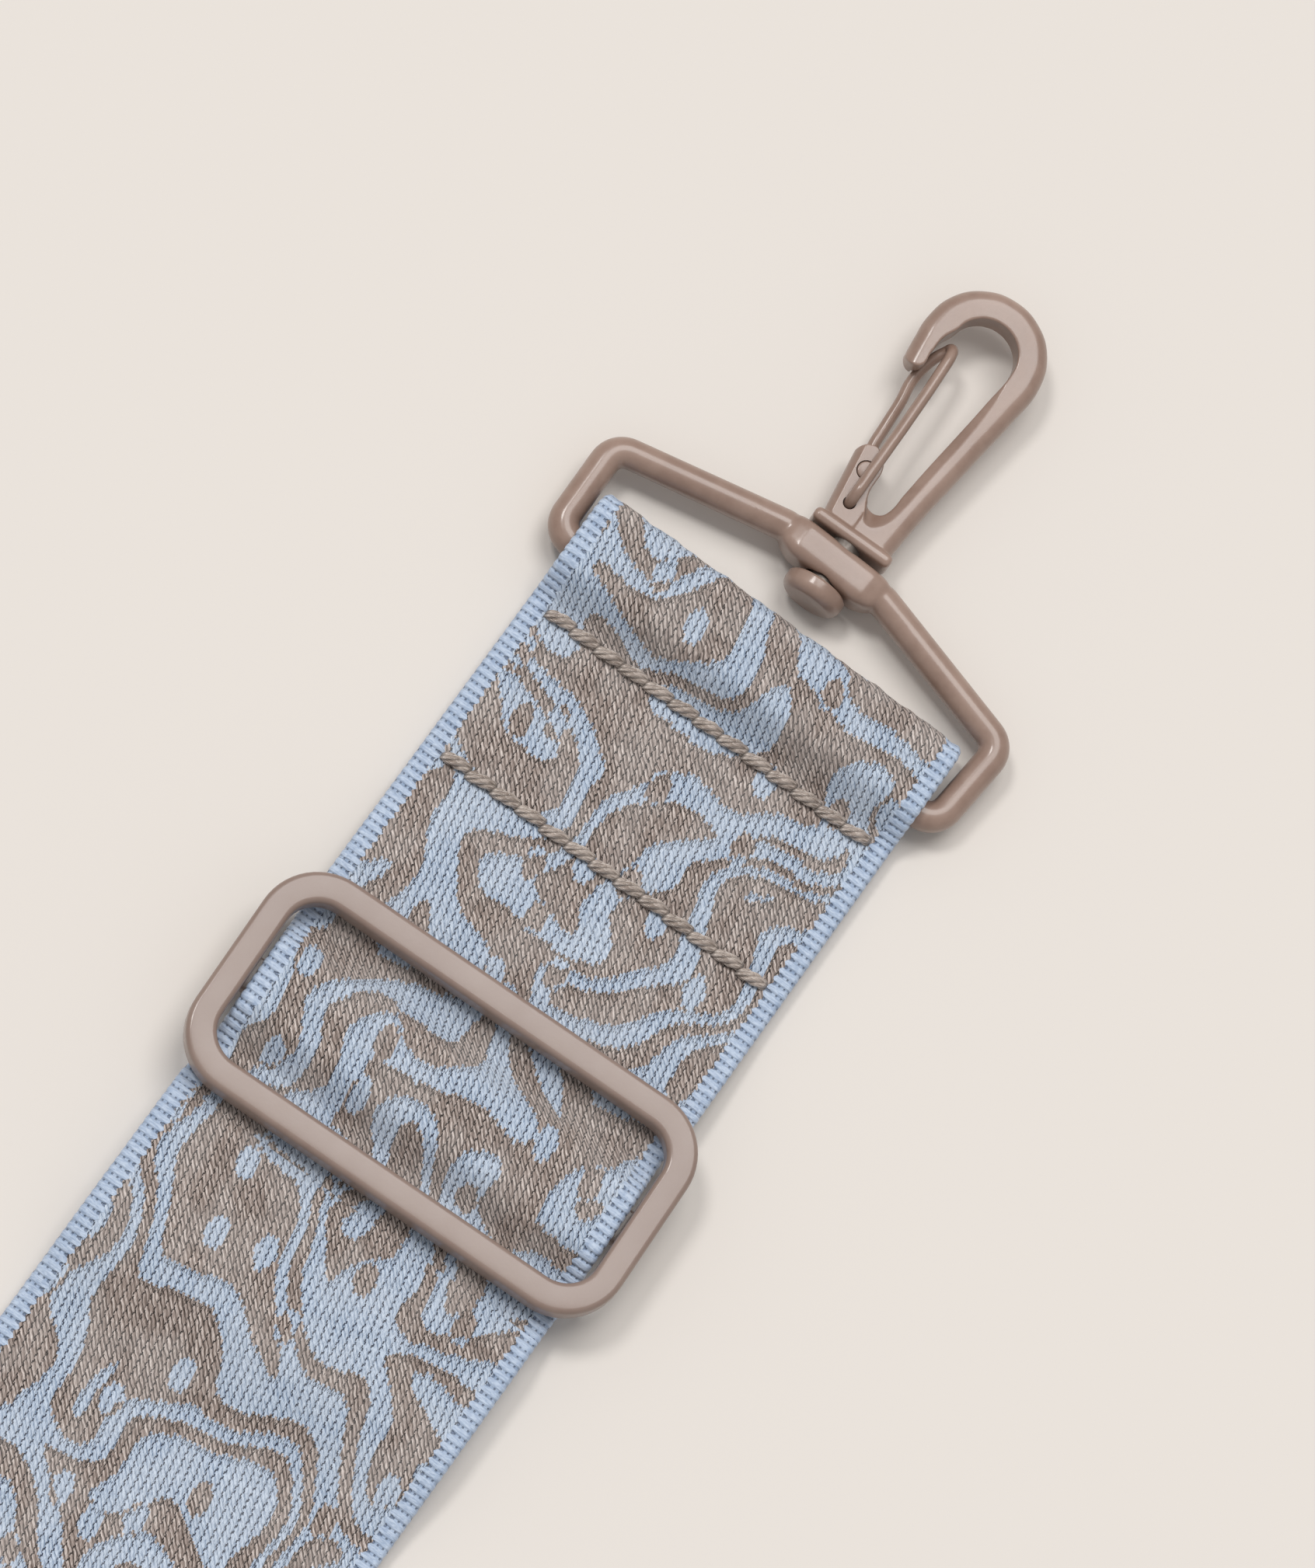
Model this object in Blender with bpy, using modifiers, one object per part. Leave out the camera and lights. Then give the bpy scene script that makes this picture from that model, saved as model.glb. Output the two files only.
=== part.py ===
"""Detachable bag strap, laid flat at its shortest length.

A band of woven webbing runs from a sewn fold at the first hook, through a slider, round the ring
of the second hook and back beneath itself to a loop sewn round the slider's middle bar. Each end
carries a wire ring, a swivel snap hook and a sprung wire gate.
+X points to the first hook, +Y across the webbing, +Z up from the surface that it lies on.
"""
import math

import bmesh
import bpy
from mathutils import Matrix, Vector

# Clearances
SEAT_GAP = 0.0003
CUT_OVERRUN = 0.002

# Webbing
WEBBING_WIDTH = 0.0508
WEBBING_THICKNESS = 0.00125
STRAP_LENGTH = 0.660

# Sewn fold at the first hook, measured back from the fold's edge
BAR_SETBACK = 0.0083
FIRST_ROW_SETBACK = 0.0156
SECOND_ROW_SETBACK = 0.0367
HEM_OVERRUN = 0.0055
FAR_FOLD_LENGTH = 0.030

# Stitches
STITCH_MARGIN = 0.0028
STITCH_PITCH = 0.0041
STITCH_SLANT = math.radians(8)
THREAD_THICKNESS = 0.0009
THREAD_PINCH_SHARE = 0.45

# Slider, measured back from the same edge to its middle
SLIDER_SETBACK = 0.0705
SLIDER_LENGTH = 0.0290
SLIDER_THICKNESS = 0.0032
SLIDER_SIDE_BAR = 0.0033
SLIDER_SIDE_CLEARANCE = 0.0007
SLIDER_END_BAR = 0.0035
SLIDER_CORNER = 0.0058
SLIDER_RIM = 0.0009
SLIDER_YAW = math.radians(1.6)
MIDDLE_BAR_WIDTH = 0.0045
MIDDLE_BAR_THICKNESS = 0.0024
MIDDLE_BAR_DROP = 0.00215
LOOP_SLACK = 0.0015
TAIL_LENGTH = 0.0315
TAIL_ROW_SPACING = 0.0075
TAIL_MARGIN = 0.0030

# Ring
RING_WIRE = 0.0037
RING_ARM_WIRE = 0.0039
RING_FLARE = 0.0006
RING_REACH = 0.0169
RING_SHOULDER_DROP = 0.0052
RING_CORNER = 0.0025
RING_YAW = math.radians(-2.2)
BOSS_WIDTH = 0.0124
BOSS_LENGTH = 0.0048
BOSS_HEIGHT = 0.0054
BOSS_TOP_SHARE = 0.84
BOSS_ROUNDING = 0.0008

# Swivel rivet and collar, on the axis through the ring's boss
SHANK_DIAMETER = 0.0036
SHANK_CLEARANCE = 0.0003
RIVET_HEAD_DIAMETER = 0.0076
RIVET_HEAD_LENGTH = 0.0024
RIVET_HEAD_GAP = 0.0005
RIVET_ROUNDING = 0.0013
TENON_DIAMETER = 0.0024
TENON_LENGTH = 0.0024
COLLAR_WIDTH = 0.0107
COLLAR_HEIGHT = 0.0047
COLLAR_LENGTH = 0.0016
COLLAR_GAP = 0.0006
COLLAR_ROUNDING = 0.0006

# Snap hook, measured from the middle of the ring's boss
HOOK_REACH = 0.03885
HOOK_HEAD_RADIUS = 0.00775
HOOK_BAND = 0.0037
HOOK_THICKNESS = 0.0038
HOOK_RIM = 0.0008
HOOK_LEAN = math.radians(2.8)
EAR_THICKNESS = 0.0030

# Sprung gate
GATE_WIRE = 0.0014

# Hook outline. Along is a share of the hook's reach, across a share of its head's outer radius
# for the outside and of its inner radius for the inside.
SPINE_OUTSIDE_SHARES = (
    (0.108, -0.30), (0.112, -0.60), (0.14, -0.635), (0.215, -0.665), (0.291, -0.70), (0.42, -0.785), (0.548, -0.865), (0.68, -0.95),
)
NOSE_OUTSIDE_SHARES = ((0.731, 0.981), (0.680, 0.955))
NOSE_END_SHARES = ((0.651, 0.903), (0.6435, 0.787), (0.656, 0.645))
NOSE_INSIDE_SHARES = ((0.705, 1.222), (0.7645, 1.185))
SPINE_INSIDE_SHARES = ((0.68, -0.901), (0.548, -0.760), (0.414, -0.605), (0.301, -0.494), (0.234, -0.432))
WINDOW_FOOT_SHARES = ((0.2085, -0.286), (0.2046, -0.012))
EAR_INSIDE_SHARES = ((0.224, 0.279), (0.252, 0.368), (0.278, 0.375), (0.319, 0.395))
EAR_OUTSIDE_SHARES = (
    (0.355, 0.31), (0.371, 0.465), (0.358, 0.645), (0.330, 0.722), (0.245, 0.665), (0.144, 0.599), (0.113, 0.58), (0.108, 0.30),
)
HEAD_ARC_STEPS = 6

# Gate wire between its roots: along as a share of the hook's reach, across as a share of its
# inner radius, and height as a share of its thickness
GATE_LOOP_SHARES = (
    (0.471, 0.642, 0.526), (0.680, 0.679, 0.368), (0.738, 0.711, 0.263), (0.758, 0.760, 0.130),
    (0.763, 0.810, 0.0), (0.756, 0.869, -0.130), (0.716, 1.064, -0.263), (0.631, 1.210, -0.420),
    (0.553, 1.123, -0.500), (0.471, 1.079, -0.580),
)
GATE_GROOVE_PLACES = (6, 7)

# The ends of the gate's legs in the ear, in the same shares, and the length of the legs that flexes
FRONT_HOLE_SHARES = (0.180, 0.642)
BACK_HOLE_SHARES = (0.292, 0.778)
GATE_FLEX_SHARE = 0.1506

# Places that follow from the sizes above
PLY_PITCH = WEBBING_THICKNESS + SEAT_GAP
FIRST_PLY = WEBBING_THICKNESS / 2
SECOND_PLY = FIRST_PLY + PLY_PITCH
THIRD_PLY = SECOND_PLY + PLY_PITCH
OVER_THREAD_PLY = SECOND_PLY + PLY_PITCH + THREAD_THICKNESS + SEAT_GAP
BAR_HEIGHT = WEBBING_THICKNESS + SEAT_GAP + RING_WIRE / 2
FOLD_RADIUS = RING_WIRE / 2 + SEAT_GAP + WEBBING_THICKNESS / 2
FOLD_OUTER_RADIUS = FOLD_RADIUS + WEBBING_THICKNESS / 2
BAR_SWING = WEBBING_WIDTH / 2 * abs(math.sin(RING_YAW))
STITCH_ROW_WIDTH = WEBBING_WIDTH - 2 * STITCH_MARGIN
SLIDER_WIDTH = WEBBING_WIDTH + 2 * (SLIDER_SIDE_BAR + SLIDER_SIDE_CLEARANCE)
TAIL_SECOND_ROW = TAIL_LENGTH - TAIL_MARGIN
TAIL_FIRST_ROW = TAIL_SECOND_ROW - TAIL_ROW_SPACING
HEM_SETBACK = SECOND_ROW_SETBACK + HEM_OVERRUN
SLIDER_BOTTOM = THIRD_PLY + WEBBING_THICKNESS / 2 + SEAT_GAP
SLIDER_MIDDLE = SLIDER_BOTTOM + SLIDER_THICKNESS / 2
MIDDLE_BAR_HEIGHT = SLIDER_MIDDLE - MIDDLE_BAR_DROP
LOOP_RADIUS = MIDDLE_BAR_THICKNESS / 2 + SEAT_GAP + WEBBING_THICKNESS / 2
LOOP_TURN = SLIDER_SETBACK - MIDDLE_BAR_WIDTH / 2 - LOOP_SLACK + LOOP_RADIUS - WEBBING_THICKNESS / 2
HUMP_HEIGHT = MIDDLE_BAR_HEIGHT + LOOP_RADIUS + PLY_PITCH
MIDDLE_BAR_SWING = WEBBING_WIDTH / 2 * math.sin(SLIDER_YAW)
MIDDLE_BAR_FAR_EDGE = SLIDER_SETBACK + MIDDLE_BAR_WIDTH / 2 + MIDDLE_BAR_SWING
SLIDER_NEAR_EDGE = SLIDER_SETBACK - SLIDER_LENGTH / 2
SLIDER_FAR_EDGE = SLIDER_SETBACK + SLIDER_LENGTH / 2
PASS_START = SLIDER_NEAR_EDGE - HEM_OVERRUN / 3
PASS_END = SLIDER_FAR_EDGE + HEM_OVERRUN / 3
RUN_START = HEM_SETBACK + HEM_OVERRUN / 3
RETURN_START = SLIDER_SETBACK + TAIL_LENGTH + HEM_OVERRUN / 2
FAR_RUN_END = STRAP_LENGTH - FAR_FOLD_LENGTH
HEAD_CENTRE = HOOK_REACH - HOOK_HEAD_RADIUS
HOOK_INNER_RADIUS = HOOK_HEAD_RADIUS - HOOK_BAND
COLLAR_BASE = BOSS_LENGTH / 2 + COLLAR_GAP
FRONT_HOLE_PLACE = (FRONT_HOLE_SHARES[0] * HOOK_REACH, FRONT_HOLE_SHARES[1] * HOOK_INNER_RADIUS)
BACK_HOLE_PLACE = (BACK_HOLE_SHARES[0] * HOOK_REACH, BACK_HOLE_SHARES[1] * HOOK_INNER_RADIUS)

# The bar lies on the webbing and the rivet's head on the floor, which tips the hook up.
RIVET_RIM_REACH = RING_REACH - BOSS_LENGTH / 2 - RIVET_HEAD_GAP - RIVET_HEAD_LENGTH / 2
HARDWARE_TILT = math.atan2(RIVET_HEAD_DIAMETER / 2 - BAR_HEIGHT, RIVET_RIM_REACH)


def clear_scene():
    for old in list(bpy.data.objects):
        bpy.data.objects.remove(old)


def new_collection(name, hidden=False):
    collection = bpy.data.collections.new(name)
    collection.hide_render = hidden
    bpy.context.scene.collection.children.link(collection)
    return collection


def new_material(name, colour, roughness, metallic):
    material = bpy.data.materials.new(name)
    material.use_nodes = True
    shader = material.node_tree.nodes["Principled BSDF"]
    shader.inputs["Base Color"].default_value = (*colour, 1.0)
    shader.inputs["Roughness"].default_value = roughness
    shader.inputs["Metallic"].default_value = metallic
    return material


def add_object(name, data, parent=None):
    piece = bpy.data.objects.new(name, data)
    PARTS.objects.link(piece)
    piece.parent = parent
    return piece


def add_cutter(name, data, parent=None):
    cutter = bpy.data.objects.new(name, data)
    CUTTERS.objects.link(cutter)
    cutter.parent = parent
    cutter.hide_render = True
    cutter.display_type = "WIRE"
    return cutter


def add_frame(name, parent, matrix):
    frame = bpy.data.objects.new(name, None)
    PARTS.objects.link(frame)
    frame.parent = parent
    frame.matrix_local = matrix
    frame.empty_display_size = HOOK_HEAD_RADIUS
    return frame


def finish(piece, material, smooth_angle=math.radians(35)):
    piece.data.materials.clear()
    piece.data.materials.append(material)
    piece.data.shade_smooth()
    piece.data.set_sharp_from_angle(angle=smooth_angle)
    return piece


def mesh_from_curve(curve_piece):
    """Turn a curve object into a mesh object with its caps welded."""
    bpy.context.view_layer.update()
    evaluated = curve_piece.evaluated_get(bpy.context.evaluated_depsgraph_get())
    mesh = bpy.data.meshes.new_from_object(evaluated)
    shape = bmesh.new()
    shape.from_mesh(mesh)
    bmesh.ops.remove_doubles(shape, verts=shape.verts, dist=0.000001)
    bmesh.ops.recalc_face_normals(shape, faces=shape.faces)
    shape.to_mesh(mesh)
    shape.free()
    bpy.data.objects.remove(curve_piece)
    return mesh


def cut(piece, cutter, operation="DIFFERENCE"):
    modifier = piece.modifiers.new(cutter.name, "BOOLEAN")
    modifier.operation = operation
    modifier.solver = "EXACT"
    modifier.object = cutter


def round_edges(piece, width, segments, angle=math.radians(50)):
    modifier = piece.modifiers.new("rounding", "BEVEL")
    modifier.width = width
    modifier.segments = segments
    modifier.limit_method = "ANGLE"
    modifier.angle_limit = angle


def box_mesh(name, low, high):
    """A box between two corners."""
    mesh = bpy.data.meshes.new(name)
    shape = bmesh.new()
    bmesh.ops.create_cube(shape, size=1)
    size = Vector(high) - Vector(low)
    bmesh.ops.scale(shape, vec=size, verts=shape.verts)
    bmesh.ops.translate(shape, vec=Vector(low) + size / 2, verts=shape.verts)
    shape.to_mesh(mesh)
    shape.free()
    return mesh


def rod_mesh(name, radius, start, end, sides):
    """A round rod between two points."""
    mesh = bpy.data.meshes.new(name)
    shape = bmesh.new()
    run = Vector(end) - Vector(start)
    bmesh.ops.create_cone(
        shape, cap_ends=True, segments=sides, radius1=radius, radius2=radius, depth=run.length
    )
    turn = run.to_track_quat("Z", "Y").to_matrix().to_4x4()
    place = Matrix.Translation((Vector(start) + Vector(end)) / 2) @ turn
    bmesh.ops.transform(shape, matrix=place, verts=shape.verts)
    shape.to_mesh(mesh)
    shape.free()
    return mesh


def outline_curve(name, loops, depth, rim=0.0, smooth=False):
    """A flat filled outline in its own XY plane, given a depth along Z and rounded rims."""
    curve = bpy.data.curves.new(name, "CURVE")
    curve.dimensions = "2D"
    curve.fill_mode = "BOTH"
    curve.extrude = depth / 2 - rim
    curve.bevel_depth = rim
    curve.bevel_resolution = 1
    curve.offset = -rim
    curve.resolution_u = 2
    for loop in loops:
        add_spline(curve, [(across, along, 0) for across, along in loop], smooth, True)
    return curve


def add_spline(curve, points, smooth, closed):
    """A straight-sided or a smooth spline through the points."""
    spline = curve.splines.new("BEZIER" if smooth else "POLY")
    knots = spline.bezier_points if smooth else spline.points
    knots.add(len(points) - 1)
    for knot, point in zip(knots, points):
        if smooth:
            knot.co = point
            knot.handle_left_type = "AUTO"
            knot.handle_right_type = "AUTO"
        else:
            knot.co = (*point, 1)
    spline.use_cyclic_u = closed
    return knots


def wire_curve(name, points, radii, sides=8, closed=False, smooth=False):
    """A round wire through the given points, with a radius at each."""
    curve = bpy.data.curves.new(name, "CURVE")
    curve.dimensions = "3D"
    curve.bevel_depth = 1
    curve.bevel_resolution = sides // 2 - 2
    curve.use_fill_caps = True
    curve.resolution_u = 4
    for knot, radius in zip(add_spline(curve, points, smooth, closed), radii):
        knot.radius = radius
    return curve


def arc(centre, radius, start, end, steps):
    """Points on an arc from one angle to another."""
    angles = (start + (end - start) * step / steps for step in range(steps + 1))
    return [(centre[0] + radius * math.cos(angle), centre[1] + radius * math.sin(angle)) for angle in angles]


def slope(start, end, steps):
    """Points on a smooth change of level that starts and ends flat."""
    points = []
    for step in range(steps + 1):
        share = step / steps
        level = (1 - math.cos(math.pi * share)) / 2
        points.append((start[0] + (end[0] - start[0]) * share, start[1] + (end[1] - start[1]) * level))
    return points


def cut_path(path, start, end):
    """The part of a path between two setbacks, with a point at each."""
    kept = []
    for (before, low), (after, high) in zip(path, path[1:]):
        for limit in (start, end):
            if before < limit < after:
                kept.append((limit, low + (high - low) * (limit - before) / (after - before)))
    kept += [point for point in path if start <= point[0] <= end]
    return sorted(set(kept))


def band(name, path, fold_x, direction):
    """Webbing laid along a path of setbacks and heights, as a sheet given its thickness."""
    mesh = bpy.data.meshes.new(name)
    shape = bmesh.new()
    knots = [shape.verts.new((fold_x + direction * back, -WEBBING_WIDTH / 2, height)) for back, height in path]
    edges = [shape.edges.new(pair) for pair in zip(knots, knots[1:])]
    swept = bmesh.ops.extrude_edge_only(shape, edges=edges)["geom"]
    moved = [item for item in swept if isinstance(item, bmesh.types.BMVert)]
    bmesh.ops.translate(shape, vec=(0, WEBBING_WIDTH, 0), verts=moved)
    shape.to_mesh(mesh)
    shape.free()
    piece = add_object(name, mesh)
    thickness = piece.modifiers.new("thickness", "SOLIDIFY")
    thickness.thickness = WEBBING_THICKNESS
    thickness.offset = 0
    thickness.use_even_offset = True
    return finish(piece, FABRIC)


def stitch_row(name, setback, height):
    """A row of slanted stitches in one thread, on the ply whose middle is at this height."""
    count = round(STITCH_ROW_WIDTH / STITCH_PITCH)
    pitch = STITCH_ROW_WIDTH / count
    full = THREAD_THICKNESS / 2
    pinched = full * THREAD_PINCH_SHARE
    level = height + WEBBING_THICKNESS / 2 + SEAT_GAP + full
    slant = pitch * math.tan(STITCH_SLANT)
    points = []
    radii = []
    for number in range(count):
        start = number * pitch - STITCH_ROW_WIDTH / 2
        for share, radius in ((0.06, pinched), (0.25, full), (0.75, full), (0.94, pinched)):
            sideways = slant * (0.5 - share)
            points.append((FOLD_X - setback + sideways, start + share * pitch, level - (full - radius)))
            radii.append(radius)
    thread = wire_curve(name, points, radii, sides=6)
    return finish(add_object(name, mesh_from_curve(add_object("thread", thread))), THREAD)


def fold_path(length):
    """Both plies of a fold round the ring's bar: out along the bottom and back over the bar."""
    bar_back = BAR_SETBACK + BAR_SWING + SEAT_GAP
    drop_end = max(FIRST_ROW_SETBACK - THREAD_THICKNESS, bar_back + FOLD_RADIUS)
    turn = arc((FOLD_OUTER_RADIUS, BAR_HEIGHT), FOLD_RADIUS, -math.pi / 2, -3 * math.pi / 2, 10)
    over = slope((bar_back, BAR_HEIGHT + FOLD_RADIUS), (drop_end, SECOND_PLY), 10)
    return [(length, FIRST_PLY)] + turn + over


def main_ply_path():
    """The ply from the second stitch row, through the slider and on to the far fold."""
    hump_near = LOOP_TURN
    hump_far = MIDDLE_BAR_FAR_EDGE + LOOP_SLACK / 2
    under_near = SLIDER_NEAR_EDGE + SLIDER_END_BAR + 2 * SEAT_GAP
    under_far = SLIDER_FAR_EDGE - SLIDER_END_BAR - 2 * SEAT_GAP
    thread_near = SLIDER_SETBACK + TAIL_FIRST_ROW - THREAD_THICKNESS
    tail_end = SLIDER_SETBACK + TAIL_LENGTH
    path = slope((SECOND_ROW_SETBACK + THREAD_THICKNESS, SECOND_PLY), (SLIDER_NEAR_EDGE, THIRD_PLY), 8)
    path += slope((under_near, THIRD_PLY), (hump_near, HUMP_HEIGHT), 12)
    path += slope((hump_far, HUMP_HEIGHT), (under_far, THIRD_PLY), 12)
    path += slope((SLIDER_FAR_EDGE, THIRD_PLY), (thread_near, OVER_THREAD_PLY), 5)
    path += slope((tail_end, OVER_THREAD_PLY), (tail_end + TAIL_LENGTH / 2, SECOND_PLY), 8)
    path += [(FAR_RUN_END, SECOND_PLY)]
    return path


def loop_path():
    """The loop round the slider's middle bar: in beneath it, round, and back as the sewn tail."""
    top = MIDDLE_BAR_HEIGHT + LOOP_RADIUS
    bottom = MIDDLE_BAR_HEIGHT - LOOP_RADIUS
    tail_start = SLIDER_FAR_EDGE - SLIDER_END_BAR - 2 * WEBBING_THICKNESS
    ramp_start = tail_start + SEAT_GAP
    path = [(RETURN_START, FIRST_PLY)]
    path += slope((ramp_start, FIRST_PLY), (MIDDLE_BAR_FAR_EDGE + LOOP_SLACK / 2, bottom), 6)
    path += arc((LOOP_TURN, MIDDLE_BAR_HEIGHT), LOOP_RADIUS, -math.pi / 2, -3 * math.pi / 2, 10)
    path += slope((MIDDLE_BAR_FAR_EDGE, top), (tail_start, SECOND_PLY), 12)
    path += [(SLIDER_SETBACK + TAIL_LENGTH, SECOND_PLY)]
    return path


def build_webbing():
    main_ply = main_ply_path()
    hem = fold_path(HEM_SETBACK) + [(SECOND_ROW_SETBACK, SECOND_PLY)]
    hem += cut_path(main_ply, SECOND_ROW_SETBACK + THREAD_THICKNESS, RUN_START)
    band("webbing_hook_end", hem, FOLD_X, -1)
    band("webbing_near_run", cut_path(main_ply, RUN_START + SEAT_GAP, PASS_START - SEAT_GAP), FOLD_X, -1)
    band("webbing_slider_pass", cut_path(main_ply, PASS_START, PASS_END), FOLD_X, -1)
    upper_end = FAR_RUN_END - SEAT_GAP
    band("webbing_upper_run", cut_path(main_ply, PASS_END + SEAT_GAP, upper_end), FOLD_X, -1)
    return_path = [(RETURN_START + SEAT_GAP, FIRST_PLY), (upper_end, FIRST_PLY)]
    band("webbing_return_run", return_path, FOLD_X, -1)
    far_path = fold_path(FAR_FOLD_LENGTH) + [(FAR_FOLD_LENGTH, SECOND_PLY)]
    band("webbing_far_fold", far_path, -FOLD_X, 1)
    band("webbing_slider_loop", loop_path(), FOLD_X, -1)


def build_stitching():
    stitch_row("stitch_row_1", FIRST_ROW_SETBACK, SECOND_PLY)
    stitch_row("stitch_row_2", SECOND_ROW_SETBACK, SECOND_PLY)
    stitch_row("stitch_row_3", SLIDER_SETBACK + TAIL_FIRST_ROW, SECOND_PLY)
    stitch_row("stitch_row_4", SLIDER_SETBACK + TAIL_SECOND_ROW, SECOND_PLY)


def rounded_rectangle(length, width, radius, steps=6):
    """The outline of a rectangle with round corners, about its middle."""
    half_length = length / 2 - radius
    half_width = width / 2 - radius
    corners = ((1, 1), (-1, 1), (-1, -1), (1, -1))
    points = []
    for number, (side, end) in enumerate(corners):
        start = number * math.pi / 2
        points += arc((side * half_length, end * half_width), radius, start, start + math.pi / 2, steps)
    return tuple(points)


def build_slider():
    """A flat cast frame with a middle bar hung low on lugs under its side bars."""
    outer = rounded_rectangle(SLIDER_LENGTH, SLIDER_WIDTH, SLIDER_CORNER)
    window_length = SLIDER_LENGTH - 2 * SLIDER_END_BAR
    window_width = SLIDER_WIDTH - 2 * SLIDER_SIDE_BAR
    window = rounded_rectangle(window_length, window_width, SLIDER_CORNER - SLIDER_SIDE_BAR)
    loops = (outer, tuple(reversed(window)))
    curve = outline_curve("slider_frame", loops, SLIDER_THICKNESS, SLIDER_RIM)
    mesh = mesh_from_curve(add_object("slider_outline", curve))
    frame = add_object("slider_frame", mesh)
    frame.location = (FOLD_X - SLIDER_SETBACK, 0, SLIDER_MIDDLE)
    frame.rotation_euler = (0, 0, SLIDER_YAW)

    bar_top = MIDDLE_BAR_THICKNESS / 2 - MIDDLE_BAR_DROP
    bar_bottom = -MIDDLE_BAR_THICKNESS / 2 - MIDDLE_BAR_DROP
    lug_inner = WEBBING_WIDTH / 2 + SEAT_GAP
    lug_outer = SLIDER_WIDTH / 2 - SLIDER_RIM
    lug_foot = lug_outer - MIDDLE_BAR_THICKNESS / 2
    side = ((lug_foot, bar_bottom), (lug_outer, -SLIDER_THICKNESS / 2), (lug_outer, 0), (lug_inner, 0), (lug_inner, bar_top))
    other_side = tuple((-across, height) for across, height in reversed(side))
    bar_curve = outline_curve("middle_bar", (side + other_side,), MIDDLE_BAR_WIDTH)
    bar = add_cutter("middle_bar", mesh_from_curve(add_object("bar_outline", bar_curve)), frame)
    bar.rotation_euler = (math.pi / 2, 0, math.pi / 2)
    round_edges(bar, SLIDER_RIM * 2 / 3, 2)
    cut(frame, bar, "UNION")
    return finish(frame, PAINT)


def ring_outline():
    """The middle line of the ring's wire, from its bottom bar round to the shoulders."""
    foot = WEBBING_WIDTH / 2 + SEAT_GAP + RING_WIRE / 2
    shoulder = foot + RING_FLARE
    arm_line = RING_REACH + (BOSS_LENGTH - RING_ARM_WIRE) / 2
    corners = [
        Vector((0, foot)),
        Vector((arm_line - RING_SHOULDER_DROP, shoulder)),
        Vector((arm_line, BOSS_WIDTH / 2)),
    ]
    points = []
    start = Vector((0, 0))
    for number, corner in enumerate(corners[:2]):
        before = (corner - start).normalized()
        after = (corners[number + 1] - corner).normalized()
        bend = before.angle(after)
        reach = RING_CORNER * math.tan(bend / 2)
        centre = corner - before * reach + Vector((-before.y, before.x)) * -RING_CORNER
        if (centre - corner).dot(after) < 0:
            centre = corner - before * reach + Vector((-before.y, before.x)) * RING_CORNER
        first = (corner - before * reach) - centre
        first_angle = math.atan2(first.y, first.x)
        points += arc(centre, RING_CORNER, first_angle, first_angle - bend, 6)
        start = corner
    points.append(tuple(corners[2]))
    return points


def build_ring(number, frame):
    """A closed wire ring with a bored boss for the swivel."""
    half = ring_outline()
    whole = [(along, across, 0) for along, across in half]
    whole += [(along, -across, 0) for along, across in reversed(half)]
    arms = (len(half) - 1, len(half))
    radii = [RING_ARM_WIRE / 2 if place in arms else RING_WIRE / 2 for place in range(len(whole))]
    wire = wire_curve(f"ring_{number}", whole, radii, sides=12, closed=True)
    ring = add_object(f"ring_{number}", mesh_from_curve(add_object("ring_wire", wire)), frame)

    top = BOSS_HEIGHT / 2
    taper = RING_ARM_WIRE / 2
    quarter = ((BOSS_WIDTH / 2, taper), (BOSS_WIDTH / 2 * BOSS_TOP_SHARE, top))
    upper = quarter + tuple((-across, height) for across, height in reversed(quarter))
    section = upper + tuple((across, -height) for across, height in reversed(upper))
    curve = outline_curve("boss", (section,), BOSS_LENGTH)
    boss = add_cutter(f"ring_boss_{number}", mesh_from_curve(add_object("boss_outline", curve)), frame)
    boss.location = (RING_REACH, 0, 0)
    boss.rotation_euler = (math.pi / 2, 0, math.pi / 2)
    round_edges(boss, BOSS_ROUNDING, 2, math.radians(20))
    cut(ring, boss, "UNION")

    reach = BOSS_LENGTH / 2 + CUT_OVERRUN
    bore_radius = SHANK_DIAMETER / 2 + SHANK_CLEARANCE
    bore_mesh = rod_mesh("bore", bore_radius, (RING_REACH - reach, 0, 0), (RING_REACH + reach, 0, 0), 24)
    cut(ring, add_cutter(f"ring_bore_{number}", bore_mesh, frame))
    return finish(ring, PAINT)


def hook_outline():
    """The hook's flat outline: up the outside of the spine, round the head and back inside."""
    def place(shares, radius):
        return [(along * HOOK_REACH, across * radius) for along, across in shares]

    outer = HOOK_HEAD_RADIUS
    inner = HOOK_INNER_RADIUS
    centre = (HEAD_CENTRE, 0)
    points = place(SPINE_OUTSIDE_SHARES, outer)
    points += arc(centre, outer, -math.pi / 2 + 0.1, math.pi / 2, HEAD_ARC_STEPS)
    points += place(NOSE_OUTSIDE_SHARES + NOSE_END_SHARES, outer)
    points += place(NOSE_INSIDE_SHARES, inner)
    points += arc(centre, inner, math.pi / 2 - 0.1, -math.pi / 2 + 0.1, HEAD_ARC_STEPS)
    points += place(SPINE_INSIDE_SHARES + WINDOW_FOOT_SHARES + EAR_INSIDE_SHARES, inner)
    points += place(EAR_OUTSIDE_SHARES, outer)
    return tuple(points)


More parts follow.
